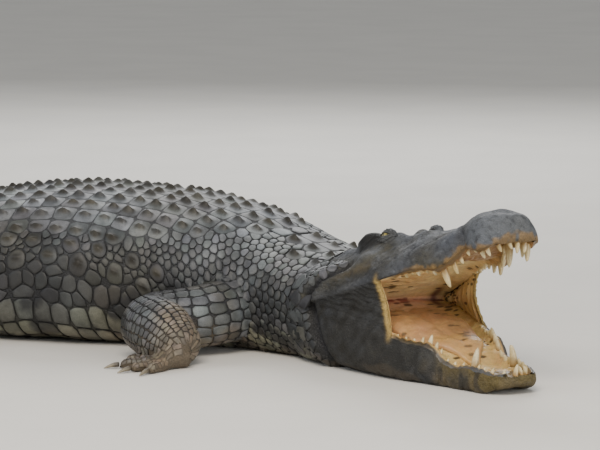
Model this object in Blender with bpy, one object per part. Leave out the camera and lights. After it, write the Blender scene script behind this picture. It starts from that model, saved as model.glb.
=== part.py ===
"""Nile crocodile basking on its belly with its mouth open, life size, in metres.

The floor is z = 0 and the animal faces +X, with its left side towards +Y. The origin is on the floor
under the middle of the trunk. The trunk, neck and tail are one tube lofted along a curved spine and
parted by thin gaps; the skull, the lower jaw and the jaw muscle between them share the axis of the
jaw joint; each limb is a chain of rounded lofts, trimmed where it meets the body.
"""

import math

import bmesh
import bpy
import numpy as np
from mathutils import Matrix, Vector

# Driving dimensions
GAP = 0.0003  # space between neighbouring solids
TAIL_TIP = -2.20  # stations along the spine: 0 at the hips, positive towards the head
SHOULDER = 1.08
NECK_END = 1.475
MID_TRUNK = 0.54  # the station over the origin
NECK_TO_JOINT = 0.038  # from the neck's front face to the jaw joint

JOINT_HEIGHT = 0.145  # jaw joint above the floor
PITCH = math.radians(18.0)  # how far the skull is lifted
MOUTH_BACK = 0.15  # from the jaw joint to the back wall of the mouth
MOUTH_CORNER = 0.320  # from the jaw joint to the front edge of the cheek skin
LIP = 0.012  # width of the lip outside the gums
ROOF_DEPTH = 0.026
FLOOR_DEPTH = 0.024

# Direction of the spine in degrees, by station
HEADING = [
    (TAIL_TIP, -34),
    (-1.70, -22),
    (-1.2, 4),
    (-0.6, 12),
    (0.0, 2),
    (0.7, 0),
    (0.95, -7),
    (1.2, -22),
    (NECK_END, -37),
]

# Sections of the body: station, half width, height, level of the widest point, squareness above, below
BODY = [
    (TAIL_TIP, 0.005, 0.016, 0.008, 2.0, 2.0),
    (-1.9, 0.020, 0.066, 0.032, 2.0, 2.2),
    (-1.5, 0.038, 0.110, 0.052, 1.9, 2.4),
    (-1.05, 0.066, 0.152, 0.068, 1.8, 2.6),
    (-0.6, 0.120, 0.206, 0.084, 1.8, 2.8),
    (-0.2, 0.196, 0.280, 0.110, 1.9, 3.0),
    (0.1, 0.275, 0.325, 0.130, 2.1, 3.0),
    (0.35, 0.360, 0.372, 0.150, 2.3, 3.0),
    (0.6, 0.392, 0.394, 0.155, 2.35, 3.0),
    (0.85, 0.358, 0.384, 0.150, 2.3, 3.0),
    (1.08, 0.288, 0.346, 0.145, 2.25, 3.0),
    (1.25, 0.230, 0.294, 0.140, 2.2, 3.0),
    (NECK_END, 0.196, 0.248, 0.130, 2.2, 3.0),
]
UNDERCUT = 0.012  # how far a section would reach below the floor, which flattens it there

# Lengths of the body: name, rear station, front station, sections, points around each
LENGTHS = [
    ("tail_tip", TAIL_TIP, -1.60, 7, 10),
    ("tail_end", -1.60, -1.08, 6, 12),
    ("tail_middle", -1.08, -0.54, 6, 16),
    ("tail_base", -0.54, -0.06, 6, 24),
    ("belly", -0.06, 0.56, 7, 24),
    ("chest", 0.56, SHOULDER, 6, 24),
    ("neck", SHOULDER, NECK_END, 5, 24),
]

# Skull and upper jaw: distance from the jaw joint, half width, lip level, roof level, squareness
UPPER = [
    (-0.12, 0.160, 0.000, 0.080, 2.6),
    (-0.03, 0.196, 0.000, 0.112, 2.7),
    (0.05, 0.196, 0.000, 0.122, 2.7),
    (0.14, 0.182, 0.000, 0.124, 2.3),
    (0.21, 0.174, 0.000, 0.120, 2.0),
    (0.27, 0.166, 0.000, 0.108, 1.8),
    (0.33, 0.153, 0.002, 0.103, 1.8),
    (0.40, 0.130, 0.004, 0.095, 2.1),
    (0.45, 0.117, -0.004, 0.085, 2.5),
    (0.49, 0.114, -0.012, 0.081, 2.5),
    (0.53, 0.098, -0.002, 0.085, 2.6),
    (0.575, 0.076, 0.020, 0.096, 2.6),
    (0.61, 0.085, 0.010, 0.098, 2.7),
    (0.645, 0.086, 0.002, 0.092, 2.7),
    (0.675, 0.076, 0.004, 0.080, 2.6),
    (0.692, 0.056, 0.009, 0.076, 2.4),
    (0.703, 0.030, 0.018, 0.062, 2.2),
]

# Lower jaw ahead of the joint: distance from it, half width, lip level, level of the widest point
LOWER = [
    (0.0, 0.196, JOINT_HEIGHT - GAP, 0.070),
    (0.10, 0.190, 0.138, 0.066),
    (0.20, 0.180, 0.128, 0.060),
    (0.30, 0.165, 0.117, 0.052),
    (0.34, 0.153, 0.105, 0.046),
    (0.38, 0.140, 0.097, 0.041),
    (0.43, 0.123, 0.096, 0.037),
    (0.455, 0.115, 0.085, 0.035),
    (0.49, 0.105, 0.058, 0.032),
    (0.52, 0.098, 0.053, 0.030),
    (0.56, 0.088, 0.056, 0.028),
    (0.60, 0.084, 0.054, 0.028),
    (0.64, 0.071, 0.048, 0.027),
    (0.67, 0.048, 0.050, 0.026),
    (0.687, 0.024, 0.042, 0.024),
]
JAW_REAR = [(-0.12, 0.150), (-0.03, 0.190), (0.0, 0.196)]  # behind the joint: distance, half width

EYE = (0.262, 0.068, 0.109)  # distance from the jaw joint, to the side, above the lip plane
EYE_RADIUS = 0.021
BROW = (0.262, 0.064, 0.026, 0.042)  # mound over the eye: distance, to the side, height, spread
TABLE_CORNER = (0.197, 0.082, 0.030, 0.034)  # raised corner of the skull's table, behind the eye
NOSE = (0.650, 0.0, 0.006, 0.028)  # mound that carries the nostrils

# Teeth of one side, front to back: distance from the jaw joint, place across the gum, length
UPPER_TEETH = [
    (0.676, 0.25, 0.020),
    (0.668, 0.72, 0.026),
    (0.650, 1.0, 0.042),
    (0.627, 1.0, 0.050),
    (0.603, 1.0, 0.022),
    (0.556, 1.0, 0.018),
    (0.537, 1.0, 0.022),
    (0.517, 1.0, 0.028),
    (0.496, 1.0, 0.036),
    (0.472, 1.0, 0.048),
    (0.449, 1.0, 0.032),
    (0.429, 1.0, 0.018),
    (0.411, 1.0, 0.020),
    (0.393, 1.0, 0.024),
    (0.374, 1.0, 0.026),
    (0.356, 1.0, 0.022),
    (0.339, 1.0, 0.018),
    (0.322, 1.0, 0.014),
]
LOWER_TEETH = [
    (0.663, 0.35, 0.036),
    (0.650, 0.85, 0.020),
    (0.630, 1.0, 0.018),
    (0.601, 1.0, 0.048),
    (0.573, 1.0, 0.018),
    (0.551, 1.0, 0.016),
    (0.529, 1.0, 0.018),
    (0.505, 1.0, 0.020),
    (0.481, 1.0, 0.022),
    (0.457, 1.0, 0.028),
    (0.433, 1.0, 0.034),
    (0.408, 1.0, 0.026),
    (0.384, 1.0, 0.020),
    (0.360, 1.0, 0.016),
    (0.336, 1.0, 0.012),
]

# Toes: degrees from the foot's direction, length, whether it has a claw
FRONT_TOES = [(46, 0.085, 1), (23, 0.105, 1), (0, 0.115, 1), (-24, 0.100, 0), (-50, 0.075, 0)]
HIND_TOES = [(32, 0.125, 1), (10, 0.155, 1), (-11, 0.160, 1), (-33, 0.130, 0)]

# Limbs, by name: side (1 left, -1 right), the joints of the upper and of the lower length as
# (ahead of the origin, to the side, height, radius), the foot's direction in degrees away from
# straight ahead, its length to the knuckles, and its toes
LIMBS = {
    "front_right": (
        -1,
        [(0.60, 0.20, 0.115, 0.084), (0.52, 0.34, 0.098, 0.080), (0.415, 0.410, 0.086, 0.077)],
        [(0.405, 0.420, 0.084, 0.077), (0.470, 0.490, 0.078, 0.080), (0.540, 0.535, 0.050, 0.060)],
        146,
        0.070,
        FRONT_TOES,
    ),
    "front_left": (
        1,
        [(0.56, 0.12, 0.130, 0.085), (0.50, 0.30, 0.110, 0.078), (0.42, 0.415, 0.090, 0.070)],
        [(0.420, 0.425, 0.088, 0.068), (0.530, 0.460, 0.075, 0.062), (0.630, 0.480, 0.048, 0.050)],
        18,
        0.085,
        FRONT_TOES,
    ),
    "hind_right": (
        -1,
        [(-0.52, 0.12, 0.170, 0.115), (-0.37, 0.320, 0.155, 0.100), (-0.21, 0.455, 0.120, 0.078)],
        [(-0.220, 0.470, 0.115, 0.075), (-0.370, 0.510, 0.088, 0.066), (-0.500, 0.530, 0.055, 0.052)],
        48,
        0.15,
        HIND_TOES,
    ),
    "hind_left": (
        1,
        [(-0.52, 0.12, 0.170, 0.115), (-0.40, 0.320, 0.155, 0.100), (-0.27, 0.465, 0.120, 0.078)],
        [(-0.280, 0.480, 0.115, 0.075), (-0.430, 0.530, 0.088, 0.066), (-0.560, 0.560, 0.055, 0.052)],
        34,
        0.15,
        HIND_TOES,
    ),
}
CLAW_LENGTH = 0.040

# Crest of the tail
WHORL = 0.074  # spacing of its scutes
CREST_START = -0.16
CREST_MERGE = -1.15  # ahead of this station the crest is double
CREST_END = -2.12


# ---------------------------------------------------------------- curves and frames
def smooth(table, x):
    """Values at x of the monotone cubic curves through the rows (position, value, ...) of a table."""
    rows = np.asarray(table, float)
    t, v = rows[:, 0], rows[:, 1:]
    slope = np.diff(v, axis=0) / np.diff(t)[:, None]
    before, after = slope[:-1], slope[1:]
    same = before * after > 0
    mean = np.where(same, 2 * before * after / np.where(same, before + after, 1), 0)
    tangent = np.vstack([slope[:1], mean, slope[-1:]])
    x = np.clip(np.atleast_1d(np.asarray(x, float)), t[0], t[-1])
    i = np.clip(np.searchsorted(t, x, side="right") - 1, 0, len(t) - 2)
    h = np.diff(t)[i][:, None]
    u = (x - t[i])[:, None] / h
    start = v[i] * (1 + 2 * u) + tangent[i] * h * u
    end = v[i + 1] * (3 - 2 * u) - tangent[i + 1] * h * (1 - u)
    return start * (1 - u) ** 2 + end * u**2


def spine_curve():
    """Stations, x, y and heading along the spine."""
    s = np.linspace(TAIL_TIP, NECK_END + 0.2, 800)
    heading = np.radians(smooth(HEADING, s)[:, 0])
    middle = (heading[1:] + heading[:-1]) / 2
    x = np.concatenate([[0], np.cumsum(np.diff(s) * np.cos(middle))])
    y = np.concatenate([[0], np.cumsum(np.diff(s) * np.sin(middle))])
    return s, x - np.interp(MID_TRUNK, s, x), y - np.interp(MID_TRUNK, s, y), heading


SPINE = spine_curve()


def on_body(s, side, z):
    """The point at station s, side metres to the left of the spine and z above the floor."""
    x, y, a = (np.interp(s, SPINE[0], values) for values in SPINE[1:])
    return np.stack([x - side * np.sin(a), y + side * np.cos(a), z + 0 * x], axis=-1)


def head_frame():
    """Origin on the floor under the jaw joint, X forwards along the head."""
    heading = np.interp(NECK_END, SPINE[0], SPINE[3])
    turn = Matrix.Rotation(heading, 4, "Z")
    start = Vector(on_body(NECK_END, 0.0, 0.0))
    return Matrix.Translation(start) @ turn @ Matrix.Translation((NECK_TO_JOINT, 0, 0))


HEAD = head_frame()
SKULL = HEAD @ Matrix.Translation((0, 0, JOINT_HEIGHT)) @ Matrix.Rotation(-PITCH, 4, "Y")


# ---------------------------------------------------------------- sections
def power(value, squareness):
    return np.sign(value) * np.abs(value) ** (2 / squareness)


def body_ring(s, around, grow=0.0):
    """A section of the body: two half superellipses, the lower one flat on the floor."""
    half, top, widest, above, below = smooth(BODY, s)[0]
    a = np.radians(np.linspace(-90, 270, around, endpoint=False))
    square = np.where(np.sin(a) >= 0, above, below)
    rise = np.where(np.sin(a) >= 0, top - widest, widest + UNDERCUT) + grow
    y = (half + grow) * power(np.cos(a), square)
    z = widest + rise * power(np.sin(a), square)
    return on_body(s, y, np.maximum(z, -grow))


def mounds(x, y):
    """Height of the mounds on the skull's roof."""
    total = 0
    for ahead, side, height, spread in (BROW, TABLE_CORNER, NOSE):
        away = ((x - ahead) / spread) ** 2 + ((np.abs(y) - side) / 0.030) ** 2
        total = total + height * np.exp(-away)
    return total


def skull_ring(x, around):
    """Over the roof from the left lip to the right one, then back round the recess of the palate."""
    half, lip, roof, square = smooth(UPPER, x)[0]
    a = np.radians(np.linspace(0, 180, around))
    y = half * power(np.cos(a), square)
    z = lip + (roof - lip) * power(np.sin(a), square) + mounds(x, y) * np.sin(a)
    inner = gum_width(x, UPPER)
    top = lip + (ROOF_DEPTH if has_mouth(x, UPPER) else 0)
    y = np.concatenate([y, [-inner, -inner, inner, inner]])
    z = np.concatenate([z, [lip, top, top, lip]])
    return np.column_stack([np.full(len(y), x), y, z])


def mouth_front(table):
    return table[-1][0] - 0.014


def has_mouth(x, table):
    return MOUTH_BACK < x <= mouth_front(table)


def gum_width(x, table):
    half = smooth(table, x)[0][0]
    return max(0.95 * half - LIP, 0.4 * half)


def jaw_ring(x, around):
    """Under the chin from the right lip to the left one, then back round the recess of the floor."""
    half, lip, widest = smooth(LOWER, x)[0]
    a = np.radians(np.linspace(180, 360, around))
    y = half * power(np.cos(a), 2.8)
    z = np.maximum(widest + (widest + UNDERCUT) * power(np.sin(a), 2.8), 0)
    inner = gum_width(x, LOWER)
    bottom = lip - (FLOOR_DEPTH if has_mouth(x, LOWER) else 0)
    y = np.concatenate([y, [0.95 * half, inner, inner, -inner, -inner, -0.95 * half]])
    z = np.concatenate([z, [lip, lip, bottom, bottom, lip, lip]])
    return np.column_stack([np.full(len(y), x), y, z])


# ---------------------------------------------------------------- making objects
def clear_scene():
    for obj in list(bpy.data.objects):
        bpy.data.objects.remove(obj, do_unlink=True)


def collection(name, hidden=False):
    made = bpy.data.collections.new(name)
    bpy.context.scene.collection.children.link(made)
    made.hide_render = hidden
    return made


def material(name, colour, roughness):
    made = bpy.data.materials.new(name)
    made.use_nodes = True
    shader = made.node_tree.nodes["Principled BSDF"]
    shader.inputs["Base Color"].default_value = (*colour, 1)
    shader.inputs["Roughness"].default_value = roughness
    made.diffuse_color = (*colour, 1)
    return made


clear_scene()
CROCODILE = collection("crocodile")
CUTTERS = collection("cutters", hidden=True)
HIDE = material("scaly_hide", (0.15, 0.15, 0.135), 0.6)
HEAD_HIDE = material("head_hide", (0.13, 0.14, 0.15), 0.55)
LINING = material("mouth_lining", (0.62, 0.40, 0.18), 0.45)
TONGUE = material("tongue_skin", (0.58, 0.33, 0.22), 0.45)
EYE_SURFACE = material("eye_surface", (0.20, 0.16, 0.05), 0.1)
CLAW_HORN = material("claw_horn", (0.07, 0.06, 0.05), 0.4)


def new_object(name, bm, surface=None):
    """A part, or a cutter when it has no surface."""
    bmesh.ops.recalc_face_normals(bm, faces=bm.faces)
    mesh = bpy.data.meshes.new(name)
    bm.to_mesh(mesh)
    bm.free()
    obj = bpy.data.objects.new(name, mesh)
    (CROCODILE if surface else CUTTERS).objects.link(obj)
    if surface:
        mesh.materials.append(surface)
    else:
        obj.hide_render = True
        obj.display_type = "WIRE"
    return obj


def loft_into(bm, rings):
    """Joins rings of equally many points, and closes both ends."""
    loops = [[bm.verts.new(p) for p in ring] for ring in rings]
    count = len(loops[0])
    for one, two in zip(loops, loops[1:]):
        for i in range(count):
            j = (i + 1) % count
            bm.faces.new([one[i], one[j], two[j]])
            bm.faces.new([one[i], two[j], two[i]])
    bm.faces.new(loops[0])
    bm.faces.new(loops[-1][::-1])


def loft(name, rings, surface=None, frame=None):
    bm = bmesh.new()
    loft_into(bm, rings)
    if frame is not None:
        bm.transform(frame)
    return new_object(name, bm, surface)


def boolean(obj, other, operation):
    modifier = obj.modifiers.new(f"{operation.lower()}_{other.name}", "BOOLEAN")
    modifier.operation = operation
    modifier.object = other
    modifier.solver = "EXACT"


def trim_behind(obj, ahead):
    """Cuts away what lies behind a plane across the head, ahead metres from the jaw joint."""
    bm = bmesh.new()
    bm.from_mesh(obj.data)
    everything = bm.verts[:] + bm.edges[:] + bm.faces[:]
    point = HEAD @ Vector((ahead, 0, 0))
    forwards = HEAD.to_3x3() @ Vector((1, 0, 0))
    bmesh.ops.bisect_plane(bm, geom=everything, plane_co=point, plane_no=forwards, clear_inner=True)
    bmesh.ops.holes_fill(bm, edges=[e for e in bm.edges if e.is_boundary])
    bmesh.ops.recalc_face_normals(bm, faces=bm.faces)
    bm.to_mesh(obj.data)
    bm.free()


# ---------------------------------------------------------------- body
def make_body():
    space = []
    for name, low, high, count, around in LENGTHS:
        stations = np.linspace(low, high - GAP, count)
        loft(name, [body_ring(s, around) for s in stations], HIDE)
        if around == 24:
            space += [body_ring(s, around, GAP) for s in stations]
    loft("body_space", space)


# ---------------------------------------------------------------- head
def stations_of(table):
    """The stations of a jaw, with a step at each end of its recess."""
    steps = [MOUTH_BACK, MOUTH_BACK + 0.001, mouth_front(table), mouth_front(table) + 0.001]
    return sorted([*(row[0] for row in table), *steps])


def make_skull():
    xs = sorted([*stations_of(UPPER), 0.172, 0.19, 0.24, 0.295])
    skull = loft("head", [skull_ring(x, 17) for x in xs], HEAD_HIDE, SKULL)
    trim_behind(skull, GAP - NECK_TO_JOINT)


def rear_jaw_ring(x, around):
    """The lower jaw behind the joint, which stays just under the tilted skull."""
    half = smooth(JAW_REAR, x)[0][0]
    lip = JOINT_HEIGHT + x * math.tan(PITCH) - GAP / math.cos(PITCH)
    widest = lip * 0.49
    a = np.radians(np.linspace(180, 360, around))
    y = half * power(np.cos(a), 2.8)
    z = np.maximum(widest + (widest + UNDERCUT) * power(np.sin(a), 2.8), 0)
    inner = gum_width(0, LOWER)
    edge = inner * half / LOWER[0][1]
    y = np.concatenate([y, [0.95 * half, edge, inner / 2, -inner / 2, -edge, -0.95 * half]])
    return np.column_stack([np.full(len(y), x), y, np.concatenate([z, [lip] * 6])])


def make_lower_jaw():
    behind = [rear_jaw_ring(x, 13) for x in (-0.12, -0.06, -0.02)]
    ahead = [jaw_ring(x, 13) for x in stations_of(LOWER)]
    jaw = loft("lower_jaw", behind + ahead, HEAD_HIDE, HEAD)
    trim_behind(jaw, GAP - NECK_TO_JOINT)


def make_cheeks():
    """The muscle and skin between the jaws behind the mouth, hollowed towards the mouth."""
    rings = []
    jaw = stations_of(LOWER)
    jaw_lips = smooth(LOWER, jaw)[:, 1]
    for x in (0.005, 0.05, 0.10, 0.15, 0.20, 0.25, 0.30, MOUTH_CORNER):
        low = np.interp(x, jaw, jaw_lips) + GAP
        high = JOINT_HEIGHT + x * math.tan(PITCH) - GAP / math.cos(PITCH)
        below = 0.95 * smooth(LOWER, x)[0][0] - 0.003
        above = smooth(UPPER, x / math.cos(PITCH))[0][0] - 0.003
        t = np.linspace(0, 1, 7)
        side = below + (above - below) * t - 0.016 * np.sin(np.pi * t) * min(1, x / 0.15)
        z = low + (high - low) * t
        y = np.concatenate([side, -side[::-1]])
        rings.append(np.column_stack([np.full(14, x), y, np.concatenate([z, z[::-1]])]))
    cheeks = loft("cheeks", rings, LINING, HEAD)
    boolean(cheeks, loft("throat_space", throat_rings(), None, HEAD), "DIFFERENCE")


def throat_rings():
    """The space between the cheeks, narrowing to a level fold at the back and flaring at the front."""
    rings = []
    for x, wide, high in (
        (0.122, 0.70, 0.002),
        (0.130, 0.78, 0.030),
        (0.160, 0.82, 0.075),
        (0.210, 0.84, 0.100),
        (0.250, 0.90, 0.115),
        (0.305, 1.05, 0.140),
        (0.335, 1.35, 0.155),
    ):
        half = wide * (0.95 * smooth(LOWER, x)[0][0])
        middle = JOINT_HEIGHT + 0.10 * x
        a = np.radians(np.arange(0, 360, 30))
        y = half * power(np.cos(a), 2.8)
        z = middle + high * power(np.sin(a), 2.8)
        rings.append(np.column_stack([np.full(12, x), y, z]))
    return rings


def make_eyes():
    skull = bpy.data.objects["head"]
    for name, side in (("right", -1), ("left", 1)):
        at = SKULL @ Vector((EYE[0], side * EYE[1], EYE[2]))
        sphere(f"eye_{name}", at, EYE_RADIUS, EYE_SURFACE)
        boolean(skull, sphere(f"socket_{name}", at, EYE_RADIUS + GAP), "DIFFERENCE")


def sphere(name, at, radius, surface=None):
    bm = bmesh.new()
    bmesh.ops.create_uvsphere(bm, u_segments=10, v_segments=6, radius=radius)
    bm.transform(SKULL.to_3x3().to_4x4())
    bm.transform(Matrix.Translation(at))
    return new_object(name, bm, surface)


# ---------------------------------------------------------------- mouth
def slab_rings(table, upwards):
    """Sections that fill the recess of a jaw, arched a little in the middle."""
    depth = ROOF_DEPTH if upwards else -FLOOR_DEPTH
    sign = 1 if upwards else -1
    inside = [x for x in stations_of(table) if MOUTH_BACK + 0.001 < x < mouth_front(table)]
    rings = []
    for x in [MOUTH_BACK + 0.001 + GAP, *inside, mouth_front(table) - GAP]:
        lip = smooth(table, x)[0][1]
        inner = gum_width(x, table) - GAP
        y = inner * np.array([1, 0.8, 0.45, 0, -0.45, -0.8, -1, -1, 1])
        z = lip + sign * np.array([0, 0.001, 0.007, 0.010, 0.007, 0.001, 0, 0, 0])
        z[-2:] = lip + depth - sign * GAP
        rings.append(np.column_stack([np.full(9, x), y, z]))
    return rings


def teeth(name, table, places, upwards, frame):
    """Six-sided cones along the gums of both sides."""
    bm = bmesh.new()
    sign = -1 if upwards else 1
    turn = Matrix.Rotation(math.pi if upwards else 0, 4, "X")
    for x, across, length in places:
        radius = 0.0042 + 0.12 * length
        gum = min(gum_width(x - radius, table), gum_width(x + radius, table))
        row = across * (gum - radius - 0.001)
        middle = smooth(table, x)[0][1] + sign * (length - 0.010) / 2
        for side in (-1, 1):
            made = bmesh.ops.create_cone(
                bm, cap_ends=True, segments=6, radius1=radius, radius2=0, depth=length + 0.010
            )
            place = frame @ Matrix.Translation((x, side * row, middle)) @ turn
            bmesh.ops.transform(bm, matrix=place, verts=made["verts"])
    return new_object(name, bm)


def make_mouth():
    roof = loft("palate_and_teeth", slab_rings(UPPER, True), LINING, SKULL)
    boolean(roof, teeth("upper_teeth", UPPER, UPPER_TEETH, True, SKULL), "UNION")
    floor = loft("mouth_floor_and_teeth", slab_rings(LOWER, False), LINING, HEAD)
    boolean(floor, teeth("lower_teeth", LOWER, LOWER_TEETH, False, HEAD), "UNION")
    tongue = loft("tongue", tongue_rings(), TONGUE, HEAD)
    above = HEAD @ Matrix.Translation((0, 0, GAP))
    boolean(tongue, loft("mouth_floor_space", slab_rings(LOWER, False), None, above), "DIFFERENCE")


def tongue_rings():
    """A low pad with a groove along the middle, rooted in the mouth's floor."""
    rings = []
    for x, wide, high in (
        (0.165, 0.70, 0.016),
        (0.22, 0.76, 0.022),
        (0.32, 0.74, 0.018),
        (0.38, 0.70, 0.015),
        (0.43, 0.62, 0.013),
        (0.455, 0.56, 0.012),
        (0.475, 0.48, 0.009),
        (0.50, 0.36, 0.005),
    ):
        lip = smooth(LOWER, x)[0][1]
        across = np.array([1, 0.8, 0.45, 0, -0.45, -0.8, -1])
        above = lip - 0.008 + high * np.array([0.15, 0.7, 1, 0.85, 1, 0.7, 0.15])
        y = np.concatenate([across, -across]) * gum_width(x, LOWER) * wide
        z = np.concatenate([np.full(7, lip - 0.018), above])
        rings.append(np.column_stack([np.full(14, x), y, z]))
    return rings


# ---------------------------------------------------------------- limbs
def limb_rings(side, joints, grow=0.0):
    """Round sections along a smooth path through three joints, with a rounded far end."""
    table = [(i, *joint) for i, joint in enumerate(joints)]
    rows = smooth(table, np.linspace(0, 2, 7))
    path = rows[:, :3] * [1, side, 1]
    ahead = np.gradient(path, axis=0)
    ahead /= np.linalg.norm(ahead, axis=1)[:, None]
    end = path[-1] + ahead[-1] * (0.55 * rows[-1, 3] + grow)
    centres = np.vstack([path, end])
    ahead = np.vstack([ahead, ahead[-1]])
    radii = np.append(rows[:, 3], 0.6 * rows[-1, 3]) + grow
    floor = -1.0 if grow else 0.0
    return [ring_across(*section, 12, floor) for section in zip(centres, ahead, radii)]


def ring_across(centre, direction, radius, around, floor=-1.0):
    side = np.cross(direction, [0, 0, 1])
    side /= np.linalg.norm(side)
    up = np.cross(side, direction)
    a = np.radians(np.arange(0, 360, 360 / around))
    ring = centre + radius * (np.outer(np.cos(a), side) + np.outer(np.sin(a), up))
    ring[:, 2] = np.maximum(ring[:, 2], floor)
    return ring


def low_ring(centre, direction, half, height, around, sunk):
    """A level section that reaches a little below the floor, where it will be trimmed."""
    side = np.array([direction[1], -direction[0], 0.0])
    a = np.radians(np.arange(-90, 270, 360 / around))
    middle = (height - sunk) / 2
    y = half * power(np.cos(a), 2.5)
    z = middle + (height - middle) * power(np.sin(a), 2.5)
    return np.outer(y, side) + [centre[0], centre[1], 0] + np.outer(z, [0, 0, 1])


def make_limb(name, side, upper, lower, turn, palm, toes):
    body = bpy.data.objects["body_space"]
    top = loft(f"{name}_upper", limb_rings(side, upper), HIDE)
    boolean(top, body, "DIFFERENCE")
    bottom = loft(f"{name}_lower", limb_rings(side, lower), HIDE)
    boolean(bottom, body, "DIFFERENCE")
    boolean(bottom, loft(f"{name}_upper_space", limb_rings(side, upper, GAP)), "DIFFERENCE")
    foot = make_foot(name, side, lower[-1], turn, palm, toes)
    boolean(foot, body, "DIFFERENCE")
    boolean(foot, loft(f"{name}_lower_space", limb_rings(side, lower, GAP)), "DIFFERENCE")


def make_foot(name, side, wrist, turn, palm, toes):
    start = np.array([wrist[0], side * wrist[1], 0.0])
    heading = math.radians(side * turn)
    ahead = level(heading)
    wide = wrist[3]
    sizes = [(-0.25, 0.8, 1.25), (0.3, 1.05, 1.25), (0.7, 1.25, 0.9), (1.0, 1.1, 0.5)]
    rings = []
    for t, w, h in sizes:
        rings.append(low_ring(start + ahead * palm * t, ahead, wide * w, wide * h, 12, 0.012))
    foot = loft(f"{name}_foot", rings, HIDE)
    claws = 0
    for i, (spread, length, clawed) in enumerate(toes):
        angle = heading - side * math.radians(spread)
        along = level(angle)
        across = side * math.sin(math.radians(spread)) * wide
        knuckle = start + ahead * (0.58 * palm - 0.0017 * i) + across * level(heading - math.pi / 2)
        toe = loft(f"{name}_toe_{i + 1}", toe_rings(knuckle, along, length, 0.004 + 0.0013 * i))
        boolean(foot, toe, "UNION")
        if clawed:
            claws += 1
            loft(f"{name}_claw_{claws}", claw_rings(knuckle + along * length, along), CLAW_HORN)
    boolean(foot, bpy.data.objects["ground"], "DIFFERENCE")
    return foot


def level(angle):
    return np.array([math.cos(angle), math.sin(angle), 0.0])


def toe_rings(start, along, length, sunk):
    sizes = [(0.0, 0.020, 0.034), (0.4, 0.0175, 0.030), (0.8, 0.015, 0.027), (1, 0.010, 0.019)]
    rings = []
    for t, half, height in sizes:
        rings.append(low_ring(start + along * length * t, along, half, height, 6, sunk))
    return rings


def make_ground():
    bm = bmesh.new()
    bmesh.ops.create_cube(bm, size=1)
    bm.transform(Matrix.Translation((0, 0, -0.5)) @ Matrix.Diagonal((8, 8, 1, 1)))
    new_object("ground", bm)


def claw_rings(start, along):
    rings = []
    for t, size in ((0, 0.0085), (0.5, 0.0060), (1, 0.0015)):
        height = 0.0105 + 0.003 * math.sin(math.pi * t) - 0.0085 * t
        centre = start + along * (GAP + CLAW_LENGTH * t) + [0, 0, height]
        rings.append(ring_across(centre, along, size, 6))
    return rings


# ---------------------------------------------------------------- crest of the tail
def scute(bm, s, side, height):
    """One upright plate of the crest, leaning back, rooted in the tail."""
    half, top = smooth(BODY, s)[0][:2]
    foot = top * 0.80 - 0.02
    lean = -0.35 * side
    length = 0.056 if side else 0.062
    profile = [(-0.5, foot), (0.5, foot), (-0.25, top + height), (-0.62, top + 0.75 * height)]
    sheets = []
    for face in (-1, 1):
        sheet = []
        for t, z in profile:
            rise = max(0, z - top * 0.9)
            thick = 0.0075 - 0.10 * rise
            y = side * 0.42 * half - lean * rise + face * max(thick, 0.002)
            sheet.append(bm.verts.new(on_body(s + t * length, y, z)))
        sheets.append(sheet)
    bm.faces.new(sheets[0])
    bm.faces.new(sheets[1][::-1])
    for i in range(4):
        j = (i + 1) % 4
        bm.faces.new([sheets[0][i], sheets[0][j], sheets[1][j], sheets[1][i]])


def make_crest(name, low, high):
    bm = bmesh.new()
    for s in np.arange(CREST_START, CREST_END, -WHORL):
        if not low + 0.035 < s < high - 0.03:
            continue
        if s > CREST_MERGE:
            growth = (CREST_START - s) / (CREST_START - CREST_MERGE)
            for side in (-1, 1):
                scute(bm, s, side, 0.012 + 0.030 * growth)
        else:
            fade = (s - CREST_END) / (CREST_MERGE - CREST_END)
            scute(bm, s, 0, 0.022 + 0.034 * fade)
    boolean(bpy.data.objects[name], new_object(f"{name}_crest", bm), "UNION")


make_body()
make_skull()
make_lower_jaw()
make_cheeks()
make_eyes()
make_mouth()
make_ground()
for limb, measures in LIMBS.items():
    make_limb(limb, *measures)
for length in LENGTHS[:4]:
    make_crest(*length[:3])
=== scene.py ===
# %% [markdown]
# # A Nile crocodile basking with its mouth open
#
# The animal lies on its belly on a floor at z = 0 and faces +X. It is built in the order a sculptor
# would work: measures first, then one skin over the whole body, then the scales, which are thousands
# of small solid tiles laid over it, and last the mouth's lining, tongue, teeth, eyes and claws.
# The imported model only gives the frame; every piece here rides on its one body, "root".

# %% Open the frame
import math

import bmesh
import bpy
import numpy as np
from mathutils import Matrix, Vector


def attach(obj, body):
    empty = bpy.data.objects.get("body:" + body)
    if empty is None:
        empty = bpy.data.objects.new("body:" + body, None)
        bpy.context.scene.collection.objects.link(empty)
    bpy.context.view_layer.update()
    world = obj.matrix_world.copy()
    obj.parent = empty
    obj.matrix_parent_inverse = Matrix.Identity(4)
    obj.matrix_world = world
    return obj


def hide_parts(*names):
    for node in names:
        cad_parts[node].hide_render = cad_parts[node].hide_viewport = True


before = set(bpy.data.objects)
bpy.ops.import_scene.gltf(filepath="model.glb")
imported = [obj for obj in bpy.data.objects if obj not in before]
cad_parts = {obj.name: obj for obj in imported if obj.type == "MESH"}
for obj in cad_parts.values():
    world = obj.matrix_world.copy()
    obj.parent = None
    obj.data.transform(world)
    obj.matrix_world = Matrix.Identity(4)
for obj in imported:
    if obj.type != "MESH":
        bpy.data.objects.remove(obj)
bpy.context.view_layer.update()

# %% [markdown]
# ## Measures
#
# A body without corners is easiest to hold as a few rows of numbers and a curve through them. Each
# row is one section of the animal at a station, a distance along its spine: 0 at the hips, positive
# towards the head. A monotone cubic goes through the rows without overshooting, so a section between
# two rows is never fatter than both.

# %% Measures of the body
TAIL_TIP = -2.20
NECK_END = 1.475
MID_TRUNK = 0.54
GROUND = 0.0012  # flesh stays this far above the floor
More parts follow.
